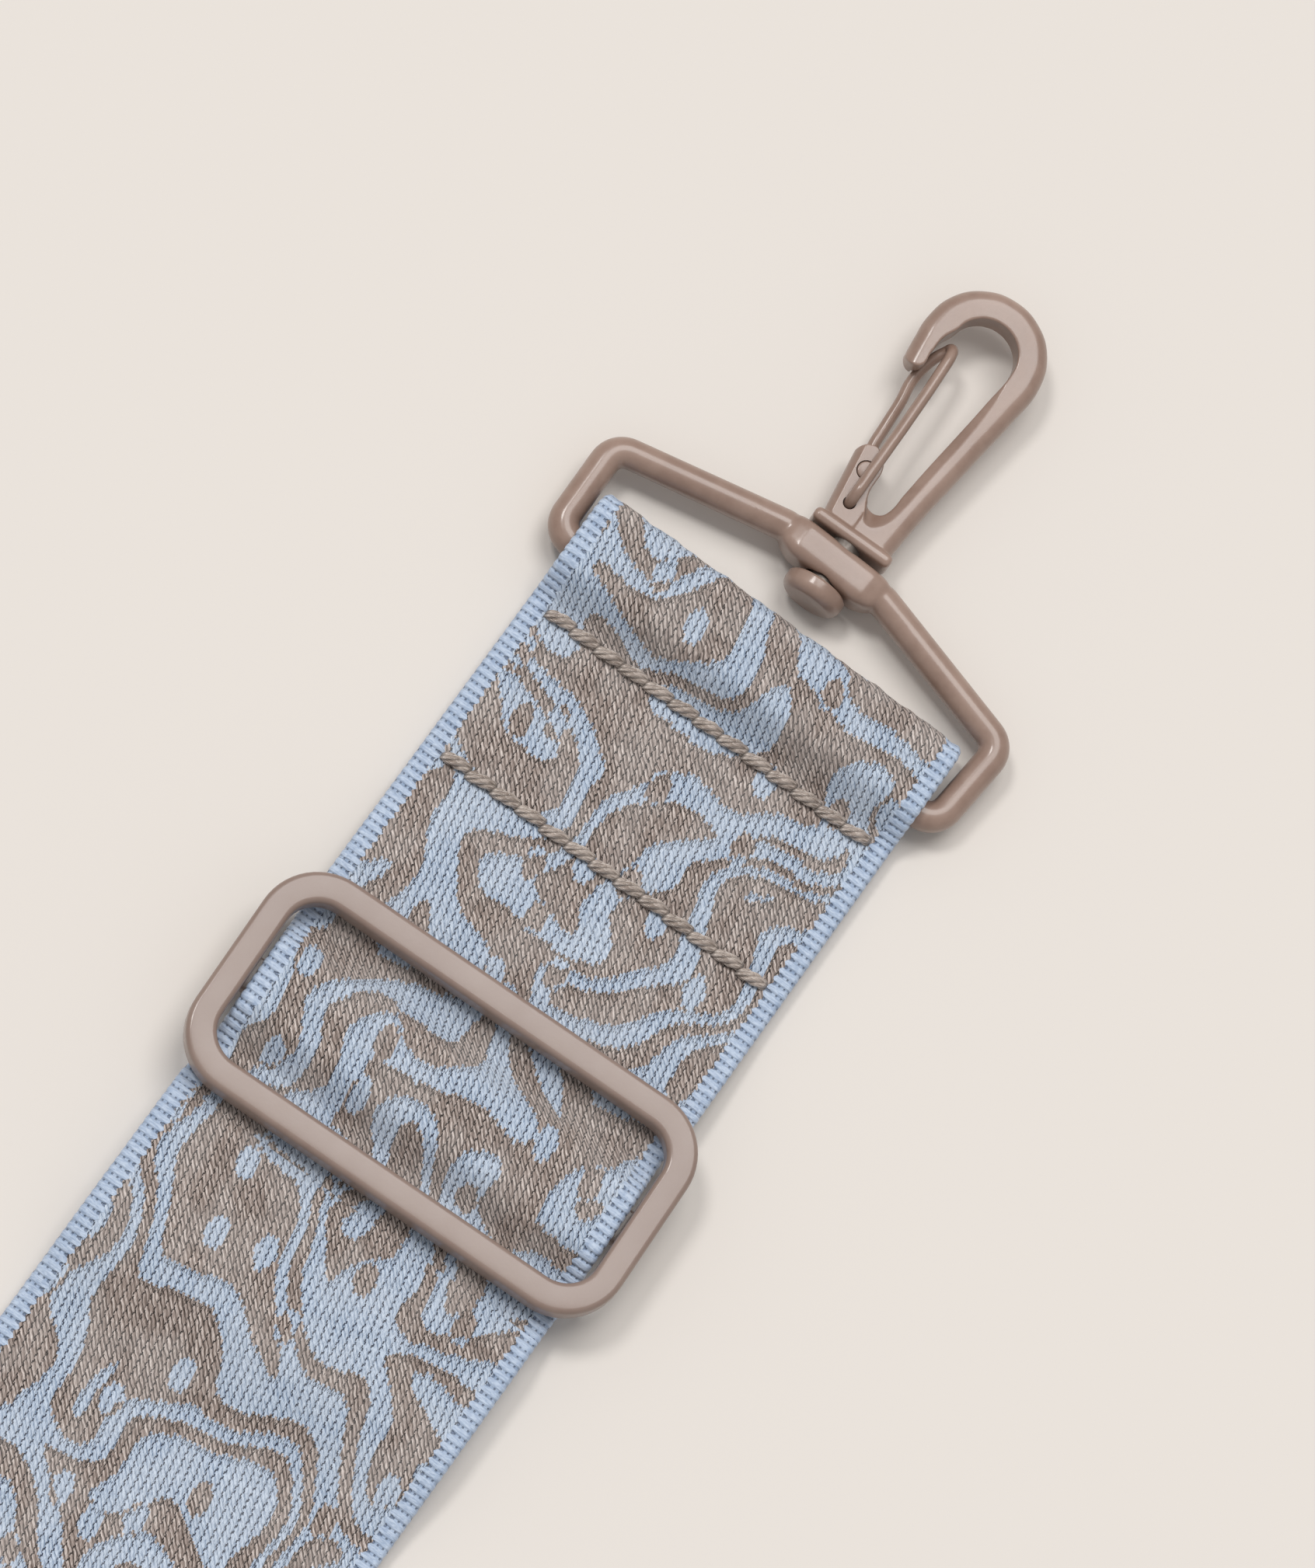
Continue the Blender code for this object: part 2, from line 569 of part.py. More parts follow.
def build_hook(number, frame):
    """A flat cast snap hook on a thicker collar, with an ear that holds the gate's wire."""
    curve = outline_curve(f"hook_{number}", (hook_outline(),), HOOK_THICKNESS, HOOK_RIM, smooth=True)
    hook = add_object(f"hook_{number}", mesh_from_curve(add_object("hook_outline", curve)), frame)

    collar_end = COLLAR_BASE + COLLAR_LENGTH
    collar_low = (COLLAR_BASE, -COLLAR_WIDTH / 2, -COLLAR_HEIGHT / 2)
    collar_high = (collar_end, COLLAR_WIDTH / 2, COLLAR_HEIGHT / 2)
    collar = add_cutter(f"hook_collar_{number}", box_mesh("collar", collar_low, collar_high), frame)
    round_edges(collar, COLLAR_ROUNDING, 2)
    cut(hook, collar, "UNION")

    ear_start = collar_end + CUT_OVERRUN / 2
    ear_end = EAR_OUTSIDE_SHARES[1][0] * HOOK_REACH + CUT_OVERRUN
    ear_side = EAR_INSIDE_SHARES[0][1] * HOOK_INNER_RADIUS / 2
    ear_outside = HOOK_HEAD_RADIUS + CUT_OVERRUN
    half_ear = EAR_THICKNESS / 2
    half_hook = HOOK_THICKNESS / 2 + CUT_OVERRUN
    for name, low, high in (("front", half_ear, half_hook), ("back", -half_hook, -half_ear)):
        recess = box_mesh("recess", (ear_start, ear_side, low), (ear_end, ear_outside, high))
        cut(hook, add_cutter(f"ear_{name}_recess_{number}", recess, frame))
    hole_radius = GATE_WIRE / 2 + SEAT_GAP
    for name, (along, across) in (("front", FRONT_HOLE_PLACE), ("back", BACK_HOLE_PLACE)):
        hole = rod_mesh("hole", hole_radius, (along, across, -half_hook), (along, across, half_hook), 16)
        cut(hook, add_cutter(f"gate_{name}_hole_{number}", hole, frame))

    groove = add_cutter(f"nose_groove_{number}", groove_mesh(), frame)
    cut(hook, groove)
    bore_radius = TENON_DIAMETER / 2 + SEAT_GAP
    bore_end = COLLAR_BASE + TENON_LENGTH + SEAT_GAP
    bore = rod_mesh("tenon_bore", bore_radius, (COLLAR_BASE - CUT_OVERRUN, 0, 0), (bore_end, 0, 0), 20)
    cut(hook, add_cutter(f"tenon_bore_{number}", bore, frame))
    return finish(hook, PAINT)


def gate_loop_points():
    sizes = (HOOK_REACH, HOOK_INNER_RADIUS, HOOK_THICKNESS)
    return [tuple(share * size for share, size in zip(point, sizes)) for point in GATE_LOOP_SHARES]


def groove_mesh():
    """The cutter for the groove under the nose, along the back leg of the gate."""
    loop = gate_loop_points()
    upper, lower = (Vector(loop[place]) for place in GATE_GROOVE_PLACES)
    overrun = (upper - lower).normalized() * GATE_WIRE
    return rod_mesh("groove", GATE_WIRE / 2 + SEAT_GAP, lower - overrun, upper + overrun, 16)


def build_gate(number, hook_frame, gate_frame):
    """A bent spring wire: a stiff loop that swings, on two legs that flex out of the ear."""
    loop = gate_loop_points()
    leg_end = gate_frame.matrix_local.translation.x + GATE_FLEX_SHARE * HOOK_REACH
    high = EAR_THICKNESS / 2 + SEAT_GAP + GATE_WIRE / 2
    front_hole = Vector((*FRONT_HOLE_PLACE, 0))
    back_hole = Vector((*BACK_HOLE_PLACE, 0))
    half_ear = EAR_THICKNESS / 2
    bend = GATE_WIRE / 2
    front = Vector((leg_end, loop[0][1], high * 0.93))
    back = Vector((leg_end, loop[-1][1] * 0.95, -high * 0.92))
    front_root = [
        front_hole - Vector((0, 0, half_ear * 2 / 3)),
        front_hole + Vector((0, 0, half_ear * 2 / 3)),
        front_hole + Vector((bend, 0, high * 0.93)),
        front_hole.lerp(front, 0.45) + Vector((0, 0, high - front.z * 0.45)),
        front,
    ]
    back_root = [
        back_hole + Vector((0, 0, half_ear)),
        back_hole - Vector((0, 0, half_ear * 2 / 3)),
        back_hole + Vector((bend / 2, bend / 2, -high * 0.95)),
        back_hole.lerp(back, 0.6) + Vector((0, 0, -high - back.z * 0.6)),
        back,
    ]
    shift = gate_frame.matrix_local.inverted()
    split = Vector((SEAT_GAP, 0, 0))
    swing = [front + split] + [Vector(point) for point in loop] + [back + split]
    gate_wire(f"gate_{number}", [shift @ point for point in swing], gate_frame)
    gate_wire(f"gate_front_leg_{number}", front_root, hook_frame)
    gate_wire(f"gate_back_leg_{number}", back_root, hook_frame)


def gate_wire(name, points, frame):
    """One length of the gate's spring wire, bent smoothly through the points."""
    curve = wire_curve(name, points, [GATE_WIRE / 2] * len(points), smooth=True)
    return finish(add_object(name, mesh_from_curve(add_object("wire", curve)), frame), PAINT)


def build_rivet(number, frame):
    """The swivel rivet: a round head inside the ring, a shank and a tenon set in the hook."""
    head_end = -BOSS_LENGTH / 2 - RIVET_HEAD_GAP
    head_start = head_end - RIVET_HEAD_LENGTH
    head_radius = RIVET_HEAD_DIAMETER / 2
    shoulder = COLLAR_BASE - SEAT_GAP
    tip = COLLAR_BASE + TENON_LENGTH
    rounding = arc((head_radius - RIVET_ROUNDING, head_start + RIVET_ROUNDING), RIVET_ROUNDING, 0, -math.pi / 2, 4)
    profile = [(0, tip), (TENON_DIAMETER / 2, tip), (TENON_DIAMETER / 2, shoulder), (SHANK_DIAMETER / 2, shoulder)]
    profile += [(SHANK_DIAMETER / 2, head_end), (head_radius - RIVET_ROUNDING / 2, head_end)]
    profile += [(head_radius, head_end - RIVET_ROUNDING / 2)] + rounding + [(0, head_start)]
    mesh = bpy.data.meshes.new(f"swivel_rivet_{number}")
    shape = bmesh.new()
    knots = [shape.verts.new((radius, 0, height)) for radius, height in profile]
    for pair in zip(knots, knots[1:]):
        shape.edges.new(pair)
    shape.to_mesh(mesh)
    shape.free()
    rivet = add_object(f"swivel_rivet_{number}", mesh, frame)
    rivet.rotation_euler = (0, math.pi / 2, 0)
    turned = rivet.modifiers.new("turned", "SCREW")
    turned.axis = "Z"
    turned.steps = 24
    turned.render_steps = 24
    turned.use_merge_vertices = True
    turned.merge_threshold = 0.00001
    return finish(rivet, STEEL)


def build_end(number, turn):
    """The ring, hook, rivet and gate of one end, turned about the strap's middle."""
    lie = Matrix.Rotation(RING_YAW, 4, "Z") @ Matrix.Rotation(-HARDWARE_TILT, 4, "Y")
    bar_place = Matrix.Translation((FOLD_X - BAR_SETBACK, 0, BAR_HEIGHT))
    ring_frame = add_frame(f"ring_pivot_{number}", None, Matrix.Rotation(turn, 4, "Z") @ bar_place @ lie)
    swivel = Matrix.Translation((RING_REACH, 0, 0)) @ Matrix.Rotation(HOOK_LEAN, 4, "Z")
    hook_frame = add_frame(f"swivel_axis_{number}", ring_frame, swivel)
    pivot = (Vector(FRONT_HOLE_PLACE) + Vector(BACK_HOLE_PLACE)) / 2
    gate_frame = add_frame(f"gate_pivot_{number}", hook_frame, Matrix.Translation((*pivot, 0)))
    build_ring(number, ring_frame)
    build_hook(number, hook_frame)
    build_rivet(number, hook_frame)
    build_gate(number, hook_frame, gate_frame)


clear_scene()
FOLD_X = STRAP_LENGTH / 2
PARTS = new_collection("bag_strap")
CUTTERS = new_collection("cutters", hidden=True)
FABRIC = new_material("woven_webbing", (0.36, 0.40, 0.44), 0.75, 0.0)
THREAD = new_material("sewing_thread", (0.24, 0.19, 0.15), 0.6, 0.0)
PAINT = new_material("painted_zinc", (0.36, 0.27, 0.22), 0.42, 0.0)
STEEL = new_material("bare_rivet", (0.45, 0.42, 0.38), 0.35, 0.8)
build_webbing()
build_stitching()
build_slider()
build_end(1, 0)
build_end(2, math.pi)
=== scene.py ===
"""Looks of the detachable bag strap: jacquard webbing, sewing thread and painted hardware.

Every size is in metres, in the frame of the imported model: +X along the webbing towards the hook
that is sewn on, +Y across it, +Z up from the floor.
"""

import math

import bpy
import numpy as np
from mathutils import Euler, Matrix, Vector


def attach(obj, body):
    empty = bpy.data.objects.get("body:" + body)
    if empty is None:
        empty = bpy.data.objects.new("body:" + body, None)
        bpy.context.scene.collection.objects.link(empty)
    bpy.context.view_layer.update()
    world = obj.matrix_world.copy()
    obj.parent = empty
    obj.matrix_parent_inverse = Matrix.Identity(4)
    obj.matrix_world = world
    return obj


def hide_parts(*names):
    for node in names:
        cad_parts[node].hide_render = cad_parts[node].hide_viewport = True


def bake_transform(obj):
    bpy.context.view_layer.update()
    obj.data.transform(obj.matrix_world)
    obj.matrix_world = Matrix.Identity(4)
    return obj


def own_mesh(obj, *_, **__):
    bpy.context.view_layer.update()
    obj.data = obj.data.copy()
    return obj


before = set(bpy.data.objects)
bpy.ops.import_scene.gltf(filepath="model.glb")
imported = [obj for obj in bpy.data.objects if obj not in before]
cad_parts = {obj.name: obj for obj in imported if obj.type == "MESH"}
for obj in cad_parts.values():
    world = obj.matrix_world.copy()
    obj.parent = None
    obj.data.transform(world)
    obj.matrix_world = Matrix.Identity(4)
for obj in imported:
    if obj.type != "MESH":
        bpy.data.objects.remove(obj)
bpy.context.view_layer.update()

MM = 0.001

# Webbing
WEBBING_WIDTH = 0.0508
WEBBING_THICKNESS = 0.00125
SEAT_GAP = 0.0003
STRAP_LENGTH = 0.660
FOLD_X = STRAP_LENGTH / 2
SELVEDGE_WIDTH = 0.0022
RIB_PITCH = 0.00115
RIB_SCALLOP = 0.00009
ROW_STEP = 0.00029
FIELD_STEP = 0.0006
LONG_FIELD_STEP = 0.0016
SEAM_GAP = 0.00002
SCALLOP_REACH = 1.2 * MM
RIB_HOLLOWING = 0.13
RIB_FADE = 0.3 * MM
LEAST_FULLNESS = 0.16
FULLNESS_LEVELS = 100
TURN_STEPS = 40

# Where the lines of points along the cloth's edge lie, in millimetres inward
EDGE_PLACES = (0.0, 0.05, 0.14, 0.28, 0.48, 0.8, 1.15, 1.5, 1.85, 2.15, 2.4)

# The sewn folds, measured back from the fold's edge
BAR_SETBACK = 0.0083
FIRST_ROW_SETBACK = 0.0156
SECOND_ROW_SETBACK = 0.0367
HEM_OVERRUN = 0.0055
FAR_FOLD_LENGTH = 0.030
FOLD_CORNER = 0.0026
FOLD_NARROWING = 0.0011
FOLD_WAVES = ((0.0071, 0.00010, 0.4), (0.0043, 0.00008, 2.1), (0.0024, 0.00007, 4.4))

# Stitches
STITCH_MARGIN = 0.0028
STITCH_PITCH = 0.00355
STITCH_SLANT = math.radians(9)
STITCH_THICKNESS = 0.00162
STRAND_TWIST = math.radians(-250)
STRANDS = 4
STITCH_OVERLAP = 1.12
FURROW_DEPTH = 0.00022
FURROW_WIDTH = 0.0009
DIMPLE_DEPTH = 0.00045
DIMPLE_WIDTH = 0.00045
STRAND_SHARE = 0.46
STRAND_SIDES = 10
STITCH_STEPS = 18
STITCH_SWELL = 0.42
STITCH_CREST = 0.55
STITCH_DIP = 0.55
STITCH_LEVEL = 0.30
STITCH_END_SHADE = 0.11
FIBRE_TURN = 2.5
FIBRE_LENGTH = 1.6
STITCH_WANDER = 0.06 * MM
STITCH_TURN = math.radians(1.2)

# Slider
SLIDER_SETBACK = 0.0705
SLIDER_LENGTH = 0.0290
SLIDER_WIDTH = 0.0580
SLIDER_THICKNESS = 0.0032
SLIDER_SIDE_BAR = 0.0035
SLIDER_END_BAR = 0.0037
SLIDER_CORNER = 0.0076
SLIDER_RIM = 0.00065
SLIDER_CORNER_STEPS = 14
MIDDLE_BAR_RIM = SLIDER_RIM * 0.7
LUG_RIM = SLIDER_RIM * 0.4
LUG_SHARE = 0.96
SLIDER_YAW = math.radians(1.6)
SLIDER_MIDDLE = 0.00675
PASS_FLAT = 0.0020
MIDDLE_BAR_WIDTH = 0.0045
MIDDLE_BAR_THICKNESS = 0.0020
MIDDLE_BAR_DROP = 0.00360
PASS_NARROWING = 0.0003
PASS_REACH = 0.015
PASS_FADE = 0.004
LOOP_SLACK = 0.0015
SLIDER_TRAVEL = 1.019
TAIL_LENGTH = 0.0315
TAIL_FIRST_ROW = 0.0210
TAIL_SECOND_ROW = 0.0285
THREAD_THICKNESS = 0.0009

# Ring
RING_WIRE = 0.0037
RING_ARM_WIRE = 0.0039
RING_FLARE = 0.0006
RING_REACH = 0.0169
RING_SHOULDER_DROP = 0.0052
RING_CORNER = 0.0025
RING_YAW = math.radians(-2.2)
BOSS_WIDTH = 0.0142
BOSS_LENGTH = 0.0048
BOSS_HEIGHT = 0.0054
BOSS_CORE_SHARE = 0.64
BOSS_EDGE = 0.0012
BOSS_TAPER = (0.82, 1, 0.72)
RING_BEND_STEPS = 14
RING_SAG = 0.0002
RING_VOXEL = 0.00018
RING_ROUNDS = 30

# Swivel
SHANK_DIAMETER = 0.0036
RIVET_HEAD_DIAMETER = 0.0076
RIVET_HEAD_LENGTH = 0.0024
RIVET_HEAD_GAP = 0.0005
RIVET_ROUNDING = 0.0013
COLLAR_WIDTH = 0.0107
COLLAR_HEIGHT = 0.0047
COLLAR_LENGTH = 0.0016
COLLAR_GAP = 0.0006
COLLAR_ROUNDING = 0.0006
RIVET_EDGE = 0.0003
RIVET_SIDES = 64
BARE_MARGIN = 0.0001

# Snap hook and gate, measured from the middle of the ring's boss
HOOK_REACH = 0.03885
HOOK_HEAD_RADIUS = 0.00775
HOOK_INNER_RADIUS = 0.00405
HOOK_THICKNESS = 0.0038
HOOK_RIM = 0.0017
HOOK_LEAN = math.radians(2.8)
EAR_THICKNESS = 0.0030
EAR_PEENING = 0.00015
GATE_WIRE = 0.0014
HOLE_PLAY = 0.0001
PEENED_RADIUS = 0.00112
PEENED_RISE = 1.4 * EAR_PEENING
PEENED_ROUNDING = 0.00018
HOOK_VOXEL = 0.00014
HOOK_ROUNDS = 12
CREST_VOXEL = 0.0001
WIRE_STEPS = 8
PLATE_STEPS = 6
PLATE_RIM_STEPS = 7

# The hook's outline and the gate's bends, in shares of the hook's reach and radii
SPINE_OUTSIDE = (
    (0.14, -0.635), (0.215, -0.665), (0.291, -0.70), (0.42, -0.785), (0.548, -0.865), (0.68, -0.95),
)
NOSE_OUTSIDE = ((0.731, 0.981), (0.680, 0.955))
NOSE_END = ((0.651, 0.903), (0.6435, 0.787), (0.656, 0.645))
NOSE_INSIDE = ((0.705, 1.222), (0.7645, 1.185))
SPINE_INSIDE = (
    (0.68, -0.901), (0.548, -0.760), (0.414, -0.605), (0.301, -0.494), (0.234, -0.432),
)
WINDOW_FOOT = ((0.2085, -0.286), (0.2046, -0.012))
EAR_INSIDE = ((0.224, 0.279), (0.252, 0.368), (0.278, 0.375), (0.319, 0.395))
EAR_TIP = ((0.355, 0.31), (0.371, 0.465))
EAR_OUTSIDE = ((0.330, 0.722), (0.245, 0.665))
GATE_LOOP = (
    (0.471, 0.642, 0.526), (0.680, 0.679, 0.368), (0.738, 0.711, 0.263), (0.758, 0.760, 0.130),
    (0.763, 0.810, 0.0), (0.756, 0.869, -0.130), (0.716, 1.064, -0.263), (0.631, 1.210, -0.420),
    (0.553, 1.123, -0.500), (0.471, 1.079, -0.580),
)
GATE_GROOVE_PLACES = (6, 7)
FRONT_HOLE = (0.180, 0.642)
BACK_HOLE = (0.292, 0.778)
GATE_FLEX = 0.1506
GATE_FRONT_RISE = 0.93
GATE_BACK_RISE = 0.92
GATE_BACK_NARROWING = 0.95
GATE_FRONT_BEND = 0.45
GATE_BACK_BEND = 0.6
GATE_BACK_START = 0.95

# The plan of the hook's cutters, in millimetres from the middle of the ring's boss: the straight
# edge that closes its shell across the gate, the way round the gate's opening, and the crest
# where the round flank meets the slope down to the window
SHELL_CLOSING = ((24.0, 7.05), (18.5, 6.35), (14.0, 5.75))
SHELL_ROOT = (
    (5.6, 4.62), (3.6, 4.3), (1.8, 3.6), (0.8, 1.6), (0.8, -1.6), (1.8, -3.9), (3.6, -4.75),
)
OPENING_ROUND = (
    (14.2, 4.55), (13.75, 5.2), (13.0, 5.7), (12.3, 6.8), (13.2, 9.6), (25.6, 9.6), (26.3, 8.1),
    (25.75, 7.45),
)
CREST_LINE = (
    (33.4, -1.6, 1.0), (32.0, -3.2, 0.3), (30.2, -3.95, 0.0), (28.0, -4.35, 0.0),
    (25.4, -4.4, 0.0), (20.6, -4.1, 0.0), (16.3, -3.6, 0.0), (12.4, -3.2, 0.0),
    (9.7, -2.85, 0.0), (7.9, -2.45, 0.0), (6.6, -1.7, 0.0), (5.9, -0.5, 0.0),
    (5.9, 0.5, 0.7), (6.2, 1.3, 1.7),
)
CREST_SLOPE = ((0.0, 0.0), (2.7, -1.75), (2.7, 1.2), (0.0, 1.2))

# Heights and setbacks that follow from the sizes above
PLY_PITCH = WEBBING_THICKNESS + SEAT_GAP
FIRST_PLY = WEBBING_THICKNESS / 2
SECOND_PLY = FIRST_PLY + PLY_PITCH
THIRD_PLY = SECOND_PLY + PLY_PITCH
OVER_THREAD_PLY = THIRD_PLY + THREAD_THICKNESS + SEAT_GAP
BAR_HEIGHT = WEBBING_THICKNESS + SEAT_GAP + RING_WIRE / 2
FOLD_RADIUS = RING_WIRE / 2 + SEAT_GAP + WEBBING_THICKNESS / 2
FOLD_OUTER_RADIUS = FOLD_RADIUS + WEBBING_THICKNESS / 2
HEM_SETBACK = SECOND_ROW_SETBACK + HEM_OVERRUN
MIDDLE_BAR_HEIGHT = SLIDER_MIDDLE - MIDDLE_BAR_DROP
LOOP_RADIUS = MIDDLE_BAR_THICKNESS / 2 + SEAT_GAP + WEBBING_THICKNESS / 2
LOOP_TURN = (
    SLIDER_SETBACK - MIDDLE_BAR_WIDTH / 2 - LOOP_SLACK + LOOP_RADIUS - WEBBING_THICKNESS / 2
)
HUMP_HEIGHT = MIDDLE_BAR_HEIGHT + LOOP_RADIUS + PLY_PITCH
MIDDLE_BAR_FAR_EDGE = (
    SLIDER_SETBACK + MIDDLE_BAR_WIDTH / 2 + WEBBING_WIDTH / 2 * math.sin(SLIDER_YAW)
)
SLIDER_NEAR_EDGE = SLIDER_SETBACK - SLIDER_LENGTH / 2
SLIDER_FAR_EDGE = SLIDER_SETBACK + SLIDER_LENGTH / 2
PASS_START = SLIDER_NEAR_EDGE - HEM_OVERRUN / 3
PASS_END = SLIDER_FAR_EDGE + HEM_OVERRUN / 3
RUN_START = HEM_SETBACK + HEM_OVERRUN / 3
RETURN_START = SLIDER_SETBACK + TAIL_LENGTH + HEM_OVERRUN / 2
TAIL_COVER_END = SLIDER_SETBACK + TAIL_LENGTH * 3 / 2
FAR_RUN_END = STRAP_LENGTH - FAR_FOLD_LENGTH
HEAD_CENTRE = HOOK_REACH - HOOK_HEAD_RADIUS
COLLAR_BASE = BOSS_LENGTH / 2 + COLLAR_GAP
RIVET_RIM_REACH = RING_REACH - BOSS_LENGTH / 2 - RIVET_HEAD_GAP - RIVET_HEAD_LENGTH / 2
HARDWARE_TILT = math.atan2(RIVET_HEAD_DIAMETER / 2 - BAR_HEIGHT, RIVET_RIM_REACH)

# Camera
CAMERA_PLACE = (-0.08192, -0.00487, 1.27585)
CAMERA_TURN = (math.radians(13.975), math.radians(-9.642), math.radians(-55.208))
CAMERA_LENS = 267
PICTURE_MIDDLE = Vector((0.230, 0.0, 0.0))

# Light. A side is a direction in the camera's view: x to the right, y up, z towards the camera.
# The key light comes from the upper right of the picture and the glint from the upper left.
KEY_SIDE = (0.50, 0.70, 1.02)
KEY_SPREAD = math.radians(34)
KEY_STRENGTH = 1.36
GLINT_SIDE = (-0.20, 0.85, 1.2)
GLINT_SPREAD = math.radians(13)
GLINT_STRENGTH = 0.90
FILL_STRENGTH = 0.43
LAMP_COLOUR = (1.0, 0.99, 0.975)
SKY_COLOUR = (1.0, 0.99, 0.98, 1)
FLOOR_SIZE = 8


# Materials

def colour(red, green, blue):
    """A paint or thread colour, read off a colour card in the usual 0 to 255."""
    def linear(part):
        part /= 255
        return part / 12.92 if part <= 0.04045 else ((part + 0.055) / 1.055) ** 2.4
    return (linear(red), linear(green), linear(blue), 1.0)


# Colours: the cloth's from dark to light, then the paint's
# Besides their own tone, the cloth's colours other than the gaps carry painted shade and highlights
TAUPE_GAP, TAUPE_DARK = colour(40, 30, 26), colour(78, 65, 58)
TAUPE, TAUPE_LIGHT = colour(160, 144, 136), colour(220, 207, 200)
BLUE_GAP, BLUE, BLUE_LIGHT = colour(40, 48, 74), colour(118, 139, 167), colour(205, 218, 235)
EDGE_GAP, EDGE_BLUE, EDGE_LIGHT = colour(58, 72, 104), colour(140, 160, 189), colour(202, 215, 233)
# Painted shade round the stitch holes
HOLLOW_SHADE = colour(70, 58, 54)
# A white for the painted sheen on the floats
SHEEN_WHITE = (1, 1, 1, 1)
PAINT, PAINT_DEEP = colour(156, 131, 118), colour(138, 113, 100)
SLIDER_PAINT, SLIDER_PAINT_DEEP = colour(142, 122, 112), colour(134, 113, 103)

# The weave, in millimetres: its teeth, the noise that bends its bands, its columns and its edge
FLOAT_SLANT = math.radians(9.5)
TOOTH_WIDTH = 0.31
TOOTH_LENGTH = 0.55
DRIFT_SCALE = 0.080
DRIFT_REACH = 14.0
BAND_SCALE = 0.052
BAND_TURNS = 25.0
BAND_LEVEL = 0.06
BROAD_LEVEL = 0.80
LEAF_SCALE = 0.17
LEAF_RADIUS = 0.22
LEAF_SQUEEZE = 0.60
COLUMN_WIDTH = 0.95
PIN_PITCH = 0.80
EDGE_REACH = 2.05
EDGE_BLOCK = 0.72

# How deep each finish's relief is
WEAVE_RELIEF = 0.00030
THREAD_RELIEF = 0.00012
PAINT_RELIEF = 0.000035
RUB_RELIEF = 0.00004


class Value:
    """An output of a node, which adds, multiplies and compares like a number."""

    def __init__(self, recipe, socket):
        self.recipe = recipe
        self.socket = socket

    def __add__(self, other):
        return self.recipe.reckon("ADD", self, other)

    def __sub__(self, other):
        return self.recipe.reckon("SUBTRACT", self, other)

    def __rsub__(self, other):
        return self.recipe.reckon("SUBTRACT", other, self)

    def __mul__(self, other):
        return self.recipe.reckon("MULTIPLY", self, other)

    def __truediv__(self, number):
        return self * (1 / number)

    def __mod__(self, other):
        return self.recipe.reckon("MODULO", self, other)

    def __gt__(self, other):
        return self.recipe.reckon("GREATER_THAN", self, other)

    def __lt__(self, other):
        return self.recipe.reckon("LESS_THAN", self, other)

    def __abs__(self):
        return self.recipe.reckon("ABSOLUTE", self)

    def __floor__(self):
        return self.recipe.reckon("FLOOR", self)

    def fraction(self):
        return self.recipe.reckon("FRACT", self)

    def to_and_fro(self):
        """The distance from the nearest whole number."""
        return self.recipe.reckon("PINGPONG", self, 0.5)


class Recipe:
    """Short names for the nodes that a finish is mixed from."""

    def __init__(self, tree):
        self.tree = tree

    def node(self, kind, **settings):
        made = self.tree.nodes.new(kind)
        for name, setting in settings.items():
            setattr(made, name, setting)
        return made

    def feed(self, socket, source):
        if isinstance(source, Value):
            self.tree.links.new(source.socket, socket)
        else:
            socket.default_value = source

    def fed(self, kind, sources=(), output=0, **settings):
        """The output of a node whose inputs are fed in their order."""
        made = self.node(kind, **settings)
        for socket, source in zip(made.inputs, sources):
            self.feed(socket, source)
        return Value(self, made.outputs[output])

    def reckon(self, operation, *sources):
        return self.fed("ShaderNodeMath", sources, operation=operation)

    def ramp(self, source, low, high, to_low=0.0, to_high=1.0):
        """A smooth step from one value to another."""
        sources = (source, low, high, to_low, to_high)
        return self.fed("ShaderNodeMapRange", sources, interpolation_type="SMOOTHSTEP")

    def fall(self, source, low, high):
        return self.ramp(source, low, high, 1.0, 0.0)

    def blend(self, share, first, second):
        made = self.node("ShaderNodeMix", data_type="RGBA")
        for socket, source in zip((0, 6, 7), (share, first, second)):
            self.feed(made.inputs[socket], source)
        return Value(self, made.outputs[2])

    def vector(self, x, y, z=0.0):
        return self.fed("ShaderNodeCombineXYZ", (x, y, z))

    def split(self, place):
        made = self.node("ShaderNodeSeparateXYZ")
        self.feed(made.inputs[0], place)
        return Value(self, made.outputs["X"]), Value(self, made.outputs["Y"])

    def noise(self, place, scale, detail=2.0, roughness=0.5, flat=True):
        made = self.node("ShaderNodeTexNoise", noise_dimensions="2D" if flat else "3D")
        self.feed(made.inputs["Vector"], place)
        for name, setting in (("Scale", scale), ("Detail", detail), ("Roughness", roughness)):
            made.inputs[name].default_value = setting
        return Value(self, made.outputs["Fac"])

    def chance(self, x, y):
        """A random value for each pair of whole numbers."""
        place = self.vector(x, y)
        return self.fed("ShaderNodeTexWhiteNoise", (place,), "Value", noise_dimensions="2D")

    def attribute(self, name):
        return self.fed("ShaderNodeAttribute", output="Fac", attribute_name=name)

    def own_place(self):
        return self.fed("ShaderNodeTexCoord", output="Object")

    def bump(self, height, depth):
        made = self.node("ShaderNodeBump")
        made.inputs["Distance"].default_value = depth
        self.feed(made.inputs["Height"], height)
        return Value(self, made.outputs["Normal"])


def band_wave(r, along, across):
    """The curling bands of the design: a wave through drifting ground."""
    drift_along = r.noise(r.vector(along + 40.0, across), DRIFT_SCALE, detail=0.0) - 0.5
    drift_across = r.noise(r.vector(along, across + 90.0), DRIFT_SCALE, detail=0.0) - 0.5
    curled = r.vector(along + drift_along * DRIFT_REACH, across + drift_across * DRIFT_REACH)
    return r.reckon("SINE", r.noise(curled, BAND_SCALE, detail=0.0) * BAND_TURNS)


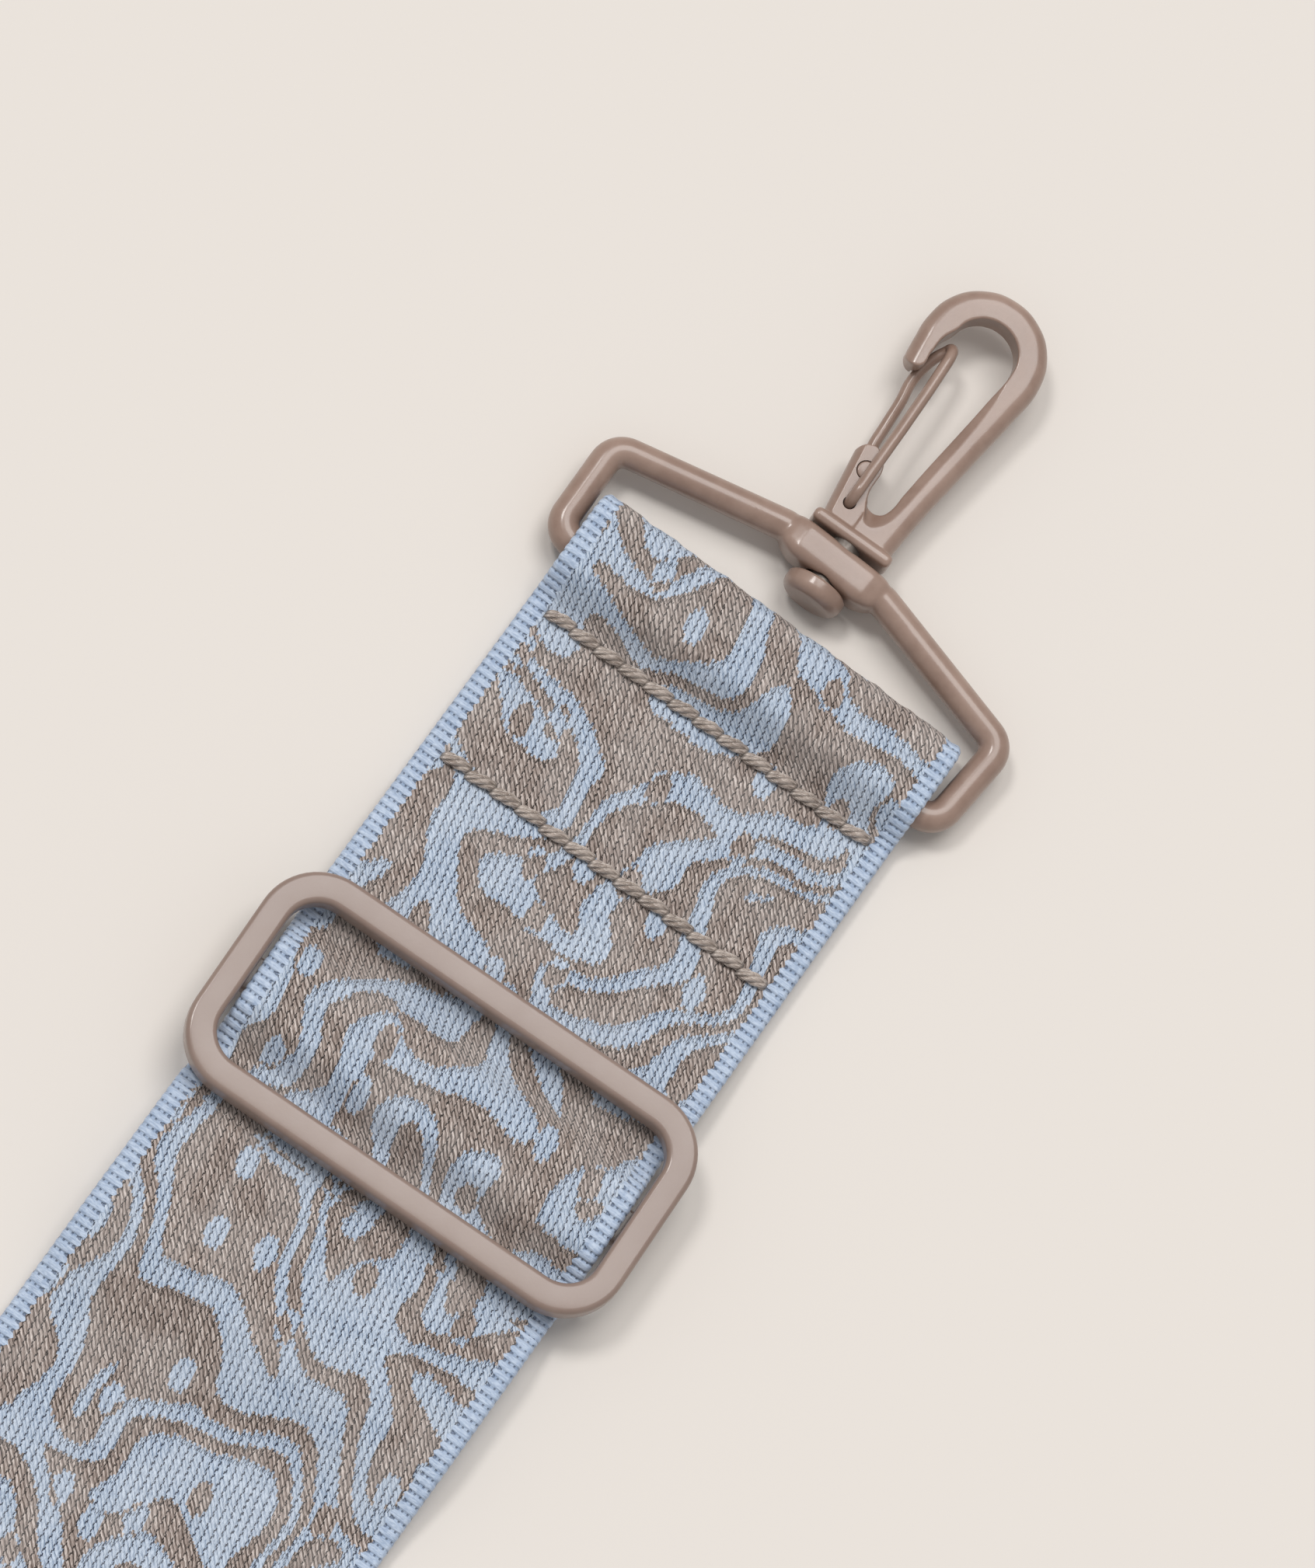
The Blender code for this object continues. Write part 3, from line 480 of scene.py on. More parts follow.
def design(r, run, side):
    """Where the cloth is blue, and the small holes along the edge of the design."""
    # The edge has teeth: the colour changes only from one small brick of yarn to the next.
    row = math.floor(side / TOOTH_WIDTH)
    brick = run / TOOTH_LENGTH + row % 2.0 * 0.5
    along = math.floor(brick) * TOOTH_LENGTH
    across = row * TOOTH_WIDTH
    band = band_wave(r, along, across) > BAND_LEVEL
    next_band = band_wave(r, along + TOOTH_LENGTH, across + TOOTH_WIDTH) > BAND_LEVEL

    # Leaves of the other colour in the broad places
    leaves = r.node("ShaderNodeTexVoronoi", voronoi_dimensions="2D", feature="F1")
    r.feed(leaves.inputs["Vector"], r.vector(along * LEAF_SQUEEZE, across))
    leaves.inputs["Scale"].default_value = LEAF_SCALE
    leaves.inputs["Randomness"].default_value = 0.85
    middle_along, middle_across = r.split(Value(r, leaves.outputs["Position"]))
    broad = abs(band_wave(r, middle_along / LEAF_SQUEEZE, middle_across)) > BROAD_LEVEL
    leaf = (Value(r, leaves.outputs["Distance"]) < LEAF_RADIUS) * broad

    through = brick.fraction()
    hole = r.ramp(through, 0.02, 0.12) * r.fall(through, 0.40, 0.52)
    hole *= r.fall((side / TOOTH_WIDTH).to_and_fro(), 0.14, 0.28)
    return abs(band - leaf), hole * abs(band - next_band)


def floats(r, run, side, blue, edge_hole):
    """Satin floats in columns: their colour, their height, and the pinholes where they dive."""
    sway = r.noise(r.vector(run * 0.35, side * 0.35), 1.0, detail=0.0) - 0.5
    column = side / COLUMN_WIDTH + sway * 0.30
    number = math.floor(column)
    from_gap = column.fraction().to_and_fro()
    dive = run / PIN_PITCH + (number * 0.43 + r.chance(number, 0.0) * 0.30)
    pin = r.ramp(dive.fraction(), 0.0, 0.06) * r.fall(dive.fraction(), 0.40, 0.50)
    pin *= r.fall(from_gap, 0.090, 0.160)
    pin *= r.ramp(r.chance(math.floor(dive), number), 0.05, 0.35, 0.40, 1.0)
    hole = r.reckon("MAXIMUM", pin, edge_hole * 0.9)

    # The yarns of a float lie side by side across its column, like the lay of a rope.
    lay = dive - column.fraction() * 1.7
    lay += r.noise(r.vector(run * 0.9, side * 0.9), 1.0, detail=1.0) * 0.6
    strand = r.ramp(lay.to_and_fro(), 0.02, 0.30)
    lay_luck = r.chance(math.floor(lay), number)
    sheen_streak = r.noise(r.vector(run * 0.9, lay * 3.4), 1.0, detail=2.0, roughness=0.6)
    sheen_streak = r.ramp(sheen_streak, 0.30, 0.70)
    hair = r.ramp(r.noise(r.vector(run * 1.2, side * 11.0), 1.0, detail=1.0), 0.35, 0.65)
    painted_sheen = r.noise(r.vector(run * 0.12, side * 0.20), 1.0, detail=1.0)

    # Painted shade in the grooves between strands and painted highlight streaks, with random tone
    taupe_shading_and_tone = strand * 0.40 + sheen_streak * 0.30 + lay_luck * 0.18 + hair * 0.12
    taupe = r.blend(r.ramp(taupe_shading_and_tone, 0.12, 0.58), TAUPE_DARK, TAUPE)
    taupe = r.blend(r.ramp(taupe_shading_and_tone, 0.55, 0.92), taupe, TAUPE_LIGHT)
    # The blue is also painted lighter away from the column gaps: painted shade towards the gaps
    blue_shading_and_tone = strand * 0.32 + sheen_streak * 0.28 + hair * 0.26 + r.ramp(from_gap, 0.0, 0.25) * 0.14
    pale = r.blend(r.ramp(blue_shading_and_tone, 0.10, 0.90), BLUE, BLUE_LIGHT)
    tone = r.blend(hole * 0.96, r.blend(blue, taupe, pale), r.blend(blue, TAUPE_GAP, BLUE_GAP))
    # A faint painted sheen in broad patches
    tone = r.blend(r.ramp(painted_sheen, 0.35, 0.65, 0.0, 0.10), tone, SHEEN_WHITE)

    height = r.ramp(from_gap, 0.0, 0.36) * 0.34 + strand * (1.0 - blue * 0.65) * 0.46
    height += sheen_streak * 0.16 + hair * 0.06 + blue * 0.14 - hole * 0.85
    return tone, height, hole


def selvedge(r, along, inward):
    """Where the ribbed selvedge is, its colour and its height: cords in blocks, with specks."""
    rib_run = along / (RIB_PITCH / MM)
    number = math.floor(rib_run + 0.5)
    from_rib = rib_run.to_and_fro()
    reach = r.ramp(from_rib, 0.0, 0.5) * 0.35 + EDGE_REACH
    here = inward < reach + r.chance(number, 3.0) * 0.25
    cord = r.ramp(from_rib, 0.0, 0.30)
    block_run = inward / EDGE_BLOCK + number % 2.0 * 0.5
    fleck = r.noise(r.vector(along * 5.2, inward * 1.3), 1.0, detail=2.0, roughness=0.6)
    # Each cord is painted lighter on top: painted shade in the grooves, with random tone
    light = cord * 0.26 + r.chance(number, math.floor(block_run)) * 0.25
    light += r.ramp(fleck, 0.35, 0.65) * 0.35
    speck = r.fall(block_run.to_and_fro(), 0.08, 0.20) * r.fall(from_rib, 0.04, 0.12)
    inner_line = r.fall(abs(inward - reach), 0.08, 0.22) * r.fall(from_rib, 0.10, 0.22)
    speck = r.reckon("MAXIMUM", speck, inner_line)
    tone = r.blend(speck * 0.60, r.blend(light, EDGE_BLUE, EDGE_LIGHT), EDGE_GAP)
    height = cord * 0.5 + r.ramp(inward, 0.0, 0.5) * 0.25 + fleck * 0.25 - speck * 0.5
    return here, tone, height


def weave_group():
    """The jacquard cloth: a two-colour design in slanted satin floats, between selvedges."""
    group = bpy.data.node_groups.new("jacquard_weave", "ShaderNodeTree")
    given_names = ("Along", "Across", "HoleShade")
    for name in given_names:
        group.interface.new_socket(name, in_out="INPUT", socket_type="NodeSocketFloat")
    for name, kind in (("Colour", "Color"), ("Height", "Float"), ("Roughness", "Float")):
        group.interface.new_socket(name, in_out="OUTPUT", socket_type=f"NodeSocket{kind}")
    r = Recipe(group)
    given = r.node("NodeGroupInput")
    along, across, hole_shade = (Value(r, given.outputs[name]) for name in given_names)
    along, across = along / MM, across / MM
    run = along * math.cos(FLOAT_SLANT) + across * math.sin(FLOAT_SLANT)
    side = across * math.cos(FLOAT_SLANT) - along * math.sin(FLOAT_SLANT)
    blue, edge_hole = design(r, run, side)
    field, field_height, hole = floats(r, run, side, blue, edge_hole)
    on_edge, rib, rib_height = selvedge(r, along, WEBBING_WIDTH / 2 / MM - abs(across))
    # Round the stitch holes the cloth is darkened towards HOLLOW_SHADE: painted shade
    results = {
        "Colour": r.blend(hole_shade * 0.75, r.blend(on_edge, field, rib), HOLLOW_SHADE),
        "Height": field_height * (1.0 - on_edge) + rib_height * on_edge,
        "Roughness": hole * 0.35 + 0.50,
    }
    result = r.node("NodeGroupOutput")
    for name, source in results.items():
        r.feed(result.inputs[name], source)
    return group


def new_finish(name):
    finish = bpy.data.materials.new(name)
    finish.use_nodes = True
    return finish, Recipe(finish.node_tree)


def complete(finish, r, settings):
    """Give the finish's shader its colour and the rest."""
    shader = finish.node_tree.nodes["Principled BSDF"]
    for name, source in settings.items():
        r.feed(shader.inputs[name], source)
    return finish


def webbing_finish(name, group, from_map):
    """The woven cloth, laid along a piece's own weave map or along the length of the strap."""
    finish, r = new_finish(name)
    if from_map:
        place = r.fed("ShaderNodeUVMap", output="UV", uv_map="weave")
    else:
        place = r.own_place()
    weave = r.node("ShaderNodeGroup", node_tree=group)
    for socket, source in zip(("Along", "Across"), r.split(place)):
        r.feed(weave.inputs[socket], source)
    # The painted shade round the stitch holes comes from the piece's own marks
    if from_map:
        r.feed(weave.inputs["HoleShade"], r.attribute("hole_shade"))
    tone, height, roughness = (Value(r, socket) for socket in weave.outputs)
    return complete(finish, r, {
        "Base Color": tone, "Roughness": roughness, "Normal": r.bump(height, WEAVE_RELIEF),
        "Specular IOR Level": 0.35, "Sheen Weight": 0.18, "Sheen Roughness": 0.4,
    })


def thread_finish():
    """Thick twisted polyester thread of fine filaments, with painted highlights and painted shade.
    """
    finish, r = new_finish("sewing_thread")
    lay = r.vector(*(r.attribute(f"fibre_{way}") for way in ("across", "up", "along")))
    fibre = r.noise(lay, 2.6, detail=3.0, roughness=0.6, flat=False)
    tone = r.noise(r.own_place(), 700, detail=2.0, flat=False)
    body = r.blend(r.ramp(tone, 0.35, 0.65), colour(150, 135, 125), colour(184, 170, 160))
    # Painted highlights on the filaments, then painted shade between them
    body = r.blend(r.ramp(fibre, 0.54, 0.66), body, colour(236, 226, 218))
    body = r.blend(r.ramp(fibre, 0.34, 0.47, 0.75, 0.0), body, colour(84, 70, 62))
    # Painted shade where the stitch dives into its hole
    body = r.blend(r.attribute("hole_shade") * 0.75, body, colour(62, 51, 45))
    return complete(finish, r, {
        "Base Color": body, "Roughness": 0.48, "Normal": r.bump(fibre, THREAD_RELIEF),
        "Sheen Weight": 0.25,
    })


def paint_finish(name, base, deep, roughness):
    """Satin taupe paint over cast zinc, with faint orange peel and mottling."""
    finish, r = new_finish(name)
    place = r.own_place()
    mottle = r.noise(place, 420, detail=4.0, roughness=0.6, flat=False)
    patch = r.noise(place, 120, detail=2.0, flat=False)
    peel = r.noise(place, 1500, detail=2.0, flat=False)
    return complete(finish, r, {
        "Base Color": r.blend(r.ramp(mottle * 0.5 + patch * 0.5, 0.30, 0.70), deep, base),
        "Roughness": r.ramp(mottle, 0.25, 0.75, roughness - 0.05, roughness + 0.07),
        "Normal": r.bump(peel * 0.4 + mottle * 0.6, PAINT_RELIEF),
        "Specular IOR Level": 0.45, "Coat Weight": 0.55, "Coat Roughness": 0.16,
    })


def bare_finish():
    """Grey rivet metal with the turning marks of its rubbed shank."""
    finish, r = new_finish("rubbed_shank")
    rub = r.noise(r.own_place(), 900, detail=3.0, flat=False)
    return complete(finish, r, {
        "Base Color": r.blend(r.ramp(rub, 0.35, 0.7), colour(92, 84, 78), colour(136, 127, 120)),
        "Metallic": 0.35, "Roughness": 0.45, "Normal": r.bump(rub, RUB_RELIEF),
    })


def floor_finish():
    """Pale warm card that fills the view."""
    finish, r = new_finish("pale_card")
    return complete(finish, r, {
        "Base Color": colour(226, 220, 214), "Roughness": 0.9, "Specular IOR Level": 0.15,
    })


# Making pieces

def deselect_all():
    if bpy.context.object and bpy.context.object.mode != "OBJECT":
        bpy.ops.object.mode_set(mode="OBJECT")
    bpy.ops.object.select_all(action="DESELECT")


def name_new(name):
    """The piece that was just added, under its own name."""
    piece = bpy.context.object
    piece.name = name
    piece.data.name = name
    return piece


def make_active(piece):
    deselect_all()
    piece.select_set(True)
    bpy.context.view_layer.objects.active = piece


def edit(piece, kind="VERT"):
    make_active(piece)
    bpy.ops.object.mode_set(mode="EDIT")
    bpy.ops.mesh.select_mode(type=kind)


def end_edit():
    bpy.ops.object.mode_set(mode="OBJECT")


def select_faces(piece, wanted):
    """Leave the piece in edit mode with only the wanted faces selected."""
    edit(piece, "FACE")
    bpy.ops.mesh.select_all(action="DESELECT")
    end_edit()
    for face in piece.data.polygons:
        face.select = wanted(face)
    bpy.ops.object.mode_set(mode="EDIT")


def apply_modifier(piece, kind, **settings):
    make_active(piece)
    modifier = piece.modifiers.new(kind.lower(), kind)
    for name, setting in settings.items():
        setattr(modifier, name, setting)
    bpy.ops.object.modifier_apply(modifier=modifier.name)


def points_of(piece):
    places = np.empty(len(piece.data.vertices) * 3)
    piece.data.vertices.foreach_get("co", places)
    return places.reshape(-1, 3)


def set_points(piece, places):
    piece.data.vertices.foreach_set("co", np.ascontiguousarray(places, dtype=np.float64).ravel())
    piece.data.update()


def mark_points(piece, name, values):
    attribute = piece.data.attributes.new(name, "FLOAT", "POINT")
    attribute.data.foreach_set("value", np.asarray(values, dtype=np.float32))


def join(pieces, name):
    deselect_all()
    for piece in pieces:
        piece.select_set(True)
    bpy.context.view_layer.objects.active = pieces[0]
    bpy.ops.object.join()
    return name_new(name)


def cut_away(piece, tool, operation="DIFFERENCE"):
    apply_modifier(piece, "BOOLEAN", operation=operation, solver="MANIFOLD", object=tool)
    bpy.data.objects.remove(tool)


def settle(piece, place, finish, angle=40):
    """Put the place into the mesh, turn the faces outwards, shade and paint."""
    piece.data.transform(place @ piece.matrix_world)
    piece.matrix_world = Matrix.Identity(4)
    edit(piece)
    bpy.ops.mesh.select_all(action="SELECT")
    bpy.ops.mesh.normals_make_consistent(inside=False)
    end_edit()
    make_active(piece)
    bpy.ops.object.shade_smooth_by_angle(angle=math.radians(angle))
    piece.data.materials.clear()
    piece.data.materials.append(finish)
    return piece


def arc(centre, radius, start, end, steps):
    x, y = centre
    turns = (start + (end - start) * step / steps for step in range(steps + 1))
    return [(x + radius * math.cos(turn), y + radius * math.sin(turn)) for turn in turns]


def half_turn(centre, radius):
    """Round a bar, from beneath it to its top."""
    return arc(centre, radius, -math.pi / 2, -3 * math.pi / 2, TURN_STEPS)


def slope(start, end, steps=24):
    """A smooth change of level that starts and ends flat."""
    (x, low), (end_x, high) = start, end
    points = []
    for step in range(steps + 1):
        share = step / steps
        level = (1 - math.cos(math.pi * share)) / 2
        points.append((x + (end_x - x) * share, low + (high - low) * level))
    return points


def cut_path(path, start, end):
    """The part of a path between two setbacks, with a point at each."""
    kept = []
    for (before, low), (after, high) in zip(path, path[1:]):
        for limit in (start, end):
            if before < limit < after:
                kept.append((limit, low + (high - low) * (limit - before) / (after - before)))
    kept += [point for point in path if start <= point[0] <= end]
    return sorted(set(kept))


# Webbing

def fold_path(length):
    """Both plies of a fold round the ring's bar: out along the bottom and back over the bar."""
    bar_swing = WEBBING_WIDTH / 2 * abs(math.sin(RING_YAW))
    bar_back = BAR_SETBACK + bar_swing + SEAT_GAP
    drop_end = max(FIRST_ROW_SETBACK - THREAD_THICKNESS, bar_back + FOLD_RADIUS)
    turn = half_turn((FOLD_OUTER_RADIUS, BAR_HEIGHT), FOLD_RADIUS)
    over = slope((bar_back, BAR_HEIGHT + FOLD_RADIUS), (drop_end, SECOND_PLY))
    return [(length, FIRST_PLY)] + turn + over


def main_ply_path():
    """The ply from the second stitch row, through the slider and on to the far fold."""
    hump_far = MIDDLE_BAR_FAR_EDGE + LOOP_SLACK / 2
    under_near = SLIDER_NEAR_EDGE + SLIDER_END_BAR + 2 * SEAT_GAP
    under_far = SLIDER_FAR_EDGE - SLIDER_END_BAR - 2 * SEAT_GAP
    thread_near = SLIDER_SETBACK + TAIL_FIRST_ROW - THREAD_THICKNESS
    tail_end = SLIDER_SETBACK + TAIL_LENGTH
    path = slope((SECOND_ROW_SETBACK + THREAD_THICKNESS, SECOND_PLY), (SLIDER_NEAR_EDGE, THIRD_PLY))
    path += slope((under_near + PASS_FLAT, THIRD_PLY), (LOOP_TURN, HUMP_HEIGHT))
    path += slope((hump_far, HUMP_HEIGHT), (under_far - PASS_FLAT / 2, THIRD_PLY))
    path += slope((SLIDER_FAR_EDGE, THIRD_PLY), (thread_near, OVER_THREAD_PLY))
    path += slope((tail_end, OVER_THREAD_PLY), (tail_end + TAIL_LENGTH / 2, SECOND_PLY))
    path += [(FAR_RUN_END, SECOND_PLY)]
    return path


def loop_path():
    """The loop round the slider's middle bar: in beneath it, round, and back as the sewn tail."""
    top = MIDDLE_BAR_HEIGHT + LOOP_RADIUS
    bottom = MIDDLE_BAR_HEIGHT - LOOP_RADIUS
    tail_start = SLIDER_FAR_EDGE - SLIDER_END_BAR - 2 * WEBBING_THICKNESS
    path = [(RETURN_START, FIRST_PLY)]
    loop_start = MIDDLE_BAR_FAR_EDGE + LOOP_SLACK / 2
    path += slope((tail_start + SEAT_GAP, FIRST_PLY), (loop_start, bottom))
    path += half_turn((LOOP_TURN, MIDDLE_BAR_HEIGHT), LOOP_RADIUS)
    path += slope((MIDDLE_BAR_FAR_EDGE, top), (tail_start, SECOND_PLY))
    path += [(SLIDER_SETBACK + TAIL_LENGTH, SECOND_PLY)]
    return path


def across_places(field_step):
    """Places across the webbing: close together at the rounded edge and over the selvedge."""
    edge = [WEBBING_WIDTH / 2 - inward * MM for inward in EDGE_PLACES]
    count = math.ceil(edge[-1] * 2 / field_step)
    inner = [edge[-1] - edge[-1] * 2 * step / count for step in range(1, count)]
    return np.array(edge + inner + [-place for place in reversed(edge)])


def stitch_places():
    """The middles of the stitches in a row, and their pitch."""
    width = WEBBING_WIDTH - 2 * STITCH_MARGIN
    count = round(width / STITCH_PITCH)
    pitch = width / count
    return [(number + 0.5) * pitch - width / 2 for number in range(count)], pitch


def sewn_hollows(x, y, rows, fold_x, direction):
    """How deep the thread draws the cloth in, and the painted shade round each hole, at each point.
    """
    depth = np.zeros_like(x)
    dark = np.zeros_like(x)
    for setback in rows:
        row_x = fold_x + direction * setback
        middles, pitch = stitch_places()
        reach = (WEBBING_WIDTH - 2 * STITCH_MARGIN) / 2 + pitch / 4
        inside = np.clip((reach - np.abs(y)) / FURROW_WIDTH, 0, 1)
        depth += FURROW_DEPTH * np.exp(-(((x - row_x) / FURROW_WIDTH) ** 2)) * inside
        holes = [middle - pitch / 2 for middle in middles] + [middles[-1] + pitch / 2]
        for hole in holes:
            near = np.exp(-(((x - row_x) ** 2 + (y - hole) ** 2) / DIMPLE_WIDTH ** 2))
            depth += DIMPLE_DEPTH * near
            dark = np.maximum(dark, near)
    return depth, dark


def lay_webbing(name, path, weave_start, field_step, rows=(), folded=False, direction=-1):
    """Flat webbing with its true thickness, laid along a path of setbacks and heights.

    The setbacks run from the hook end's fold with a direction of -1, or the far fold with 1.
    """
    fold_x = -direction * FOLD_X
    route = np.array(path)
    steps = np.hypot(*np.diff(route, axis=0).T)
    route = route[np.concatenate(([True], steps > 1e-9))]
    reach = np.concatenate(([0.0], np.cumsum(np.hypot(*np.diff(route, axis=0).T))))
    row_count = max(2, round(reach[-1] / ROW_STEP))
    across = across_places(field_step)

    deselect_all()
    bpy.ops.mesh.primitive_grid_add(
        x_subdivisions=row_count, y_subdivisions=len(across) - 1, size=1
    )
    piece = name_new(f"webbing_{name}_cloth")
    flat = points_of(piece)
    along = (flat[:, 0] + 0.5) * reach[-1]
    column = np.rint((flat[:, 1] + 0.5) * (len(across) - 1)).astype(int)
    sideways = across[::-1][column]
    x = fold_x + direction * np.interp(along, reach, route[:, 0])
    z = np.interp(along, reach, route[:, 1])

    weave_along = weave_start - along if direction < 0 else weave_start + along
    rib = np.cos(2 * math.pi * weave_along / RIB_PITCH)
    inward = WEBBING_WIDTH / 2 - np.abs(sideways)
    scallop = RIB_SCALLOP * (0.5 + 0.5 * rib) * np.clip(1 - inward / SCALLOP_REACH, 0, 1)
    y = sideways - np.sign(sideways) * scallop
    if folded:
        tip = np.clip(1 - np.abs(x - fold_x) / FOLD_CORNER, 0, 1)
        rounding = 1 - np.sqrt(np.clip(1 - tip ** 2, 0, 1))
        y = y * (1 - FOLD_NARROWING * rounding / (WEBBING_WIDTH / 2))
        for wave_length, swell, start in FOLD_WAVES:
            wave = np.sin(2 * math.pi * sideways / wave_length + start)
            x = x - direction * swell * tip * wave
    if direction < 0:
        from_slider = x - (FOLD_X - SLIDER_SETBACK)
        held = np.clip((PASS_REACH - np.abs(from_slider)) / PASS_FADE, 0, 1)
        held = held * held * (3 - 2 * held)
        y = y * (1 - held * PASS_NARROWING / (WEBBING_WIDTH / 2))
        y = y + held * from_slider * math.tan(SLIDER_YAW)
    depth, dark = sewn_hollows(x, y, rows, fold_x, direction)
    over = z > SECOND_PLY - SEAT_GAP
    z = z - depth * over
    set_points(piece, np.stack((x, y, z), axis=1))
    # Painted shade round the stitch holes, on the upper plies only
    mark_points(piece, "hole_shade", dark * over)

    weave = piece.data.uv_layers[0]
    weave.name = "weave"
    corners = np.empty(len(piece.data.loops), dtype=np.int32)
    piece.data.loops.foreach_get("vertex_index", corners)
    laid = np.stack((weave_along, sideways), axis=1)[corners]
    weave.data.foreach_set("uv", laid.astype(np.float32).ravel())

    half = WEBBING_THICKNESS / 2
    bevel = np.sqrt(np.clip(1 - np.clip(1 - inward / half, 0, 1) ** 2, 0, 1))
    on_selvedge = np.clip((SELVEDGE_WIDTH - inward) / RIB_FADE, 0, 1)
    ribbed = 1 - RIB_HOLLOWING * (0.5 + 0.5 * rib) * on_selvedge
    levels = np.rint(np.clip(bevel, LEAST_FULLNESS, 1) * ribbed * FULLNESS_LEVELS)
    group = piece.vertex_groups.new(name="fullness")
    for level in np.unique(levels):
        group.add(np.nonzero(levels == level)[0].tolist(), level / FULLNESS_LEVELS, "REPLACE")
    apply_modifier(
        piece, "SOLIDIFY", thickness=WEBBING_THICKNESS, offset=0, use_even_offset=True,
        vertex_group="fullness",
    )
    return piece


def path_length(path):
    return sum(math.dist(first, second) for first, second in zip(path, path[1:]))


def build_webbing(finishes):
    mapped, plain = finishes
    main = main_ply_path()
    sewn = fold_path(HEM_SETBACK) + [(SECOND_ROW_SETBACK, SECOND_PLY)]
    sewn += cut_path(main, SECOND_ROW_SETBACK + THREAD_THICKNESS, RUN_START)
    far = fold_path(FAR_FOLD_LENGTH) + [(FAR_FOLD_LENGTH, SECOND_PLY)]
    near = cut_path(main, RUN_START + SEAM_GAP, PASS_START - SEAM_GAP)
    over_tail = cut_path(main, PASS_END + SEAM_GAP, TAIL_COVER_END)
    upper_end = FAR_RUN_END - SEAM_GAP
    upper = cut_path(main, TAIL_COVER_END + SEAM_GAP, upper_end)
    back = [(RETURN_START + SEAM_GAP, FIRST_PLY), (upper_end, FIRST_PLY)]
    hem_rows = (FIRST_ROW_SETBACK, SECOND_ROW_SETBACK)
    tail_rows = (SLIDER_SETBACK + TAIL_FIRST_ROW, SLIDER_SETBACK + TAIL_SECOND_ROW)
    run_x, pass_x = FOLD_X - RUN_START, FOLD_X - PASS_START
    pieces = {
        name: lay_webbing(name, path, weave_start, field_step, *extras)
        for name, path, weave_start, field_step, *extras in (
            ("hook_end", sewn, run_x + path_length(sewn), FIELD_STEP, hem_rows, True),
            ("near_run", near, run_x, FIELD_STEP),
            ("slider_pass", cut_path(main, PASS_START, PASS_END), pass_x, FIELD_STEP),
            ("over_tail", over_tail, FOLD_X - PASS_END, LONG_FIELD_STEP),
            ("upper_run", upper, FOLD_X - TAIL_COVER_END, LONG_FIELD_STEP),
            ("return_run", back, 0.0, LONG_FIELD_STEP),
            ("far_fold", far, 0.0, FIELD_STEP, (), True, 1),
            ("slider_loop", loop_path(), 0.0, FIELD_STEP, tail_rows),
        )
    }
    for name, piece in pieces.items():
        stretches = name in ("near_run", "over_tail", "upper_run", "return_run")
        settle(piece, Matrix.Identity(4), plain if stretches else mapped, angle=60)
        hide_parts("webbing_upper_run" if name == "over_tail" else f"webbing_{name}")
    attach(pieces["hook_end"], "hook_end")
    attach(pieces["slider_pass"], "slider")
    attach(pieces["slider_loop"], "slider")
    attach(pieces["over_tail"], "slider")
    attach(pieces["far_fold"], "far_loop")
    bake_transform(pieces["near_run"])
    far_x = FOLD_X - upper_end
    for run, start_setback in (("upper_run", TAIL_COVER_END), ("return_run", RETURN_START)):
        length = FOLD_X - (start_setback + SEAM_GAP) - far_x
        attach(pieces[run], "far_loop")
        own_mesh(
            pieces[run], "far_loop_slide", axis=(1, 0, 0), anchor=(far_x, 0, 0),
            keep=1 - SLIDER_TRAVEL / 2 / length,
        )


# Stitches

def one_stitch(pitch):
    """One stitch of four twisted strands that rises from its hole and dips back into the next."""
    radius = STITCH_THICKNESS / 2
    strand = radius * STRAND_SHARE
    offset = radius - strand
    quarter = 2 * math.pi / STRANDS
    deselect_all()
    for turn in range(STRANDS):
        centre = (offset * math.cos(turn * quarter), offset * math.sin(turn * quarter), 0)
        bpy.ops.mesh.primitive_circle_add(
            vertices=STRAND_SIDES, radius=strand, fill_type="NGON", location=centre
        )
        if turn == 0:
            stitch = name_new("stitch")
            bpy.ops.object.transform_apply(location=True, rotation=False, scale=False)
            edit(stitch)
    bpy.ops.mesh.select_all(action="SELECT")
    for step in range(STITCH_STEPS):
        bpy.ops.mesh.extrude_region_move(
            TRANSFORM_OT_translate={"value": (0, 0, pitch / STITCH_STEPS)}
        )
        bpy.ops.transform.rotate(
            value=STRAND_TWIST / STITCH_STEPS, orient_axis="Z",
            center_override=(0, 0, pitch * (step + 1) / STITCH_STEPS),
        )
    end_edit()
    x, y, z = points_of(stitch).T
    share = z / pitch
    twist = np.arctan2(y, x) + STRAND_TWIST * share
    home = np.round(twist / quarter) * quarter - STRAND_TWIST * share
    around = np.arctan2(y - offset * np.sin(home), x - offset * np.cos(home)) + FIBRE_TURN * share
    hump = np.clip(np.sin(math.pi * share), 0, 1)
    swell = np.sqrt(hump) * STITCH_SWELL + (1 - STITCH_SWELL)
    lift = (hump ** STITCH_CREST - 1) * (STITCH_THICKNESS * STITCH_DIP)
    lean = math.tan(STITCH_SLANT) * (0.5 - share) * pitch
    set_points(stitch, np.stack(
        (x * swell + lean, (z - pitch / 2) * STITCH_OVERLAP, y * swell + lift), axis=1
    ))
    # Painted shade where the stitch dives into its holes, darkest at each end
    near_end = np.clip((STITCH_END_SHADE - np.minimum(share, 1 - share)) / STITCH_END_SHADE, 0, 1)
    mark_points(stitch, "hole_shade", near_end)
    mark_points(stitch, "fibre_across", np.cos(around))
    mark_points(stitch, "fibre_up", np.sin(around))
    mark_points(stitch, "fibre_along", share * FIBRE_LENGTH)
    return stitch


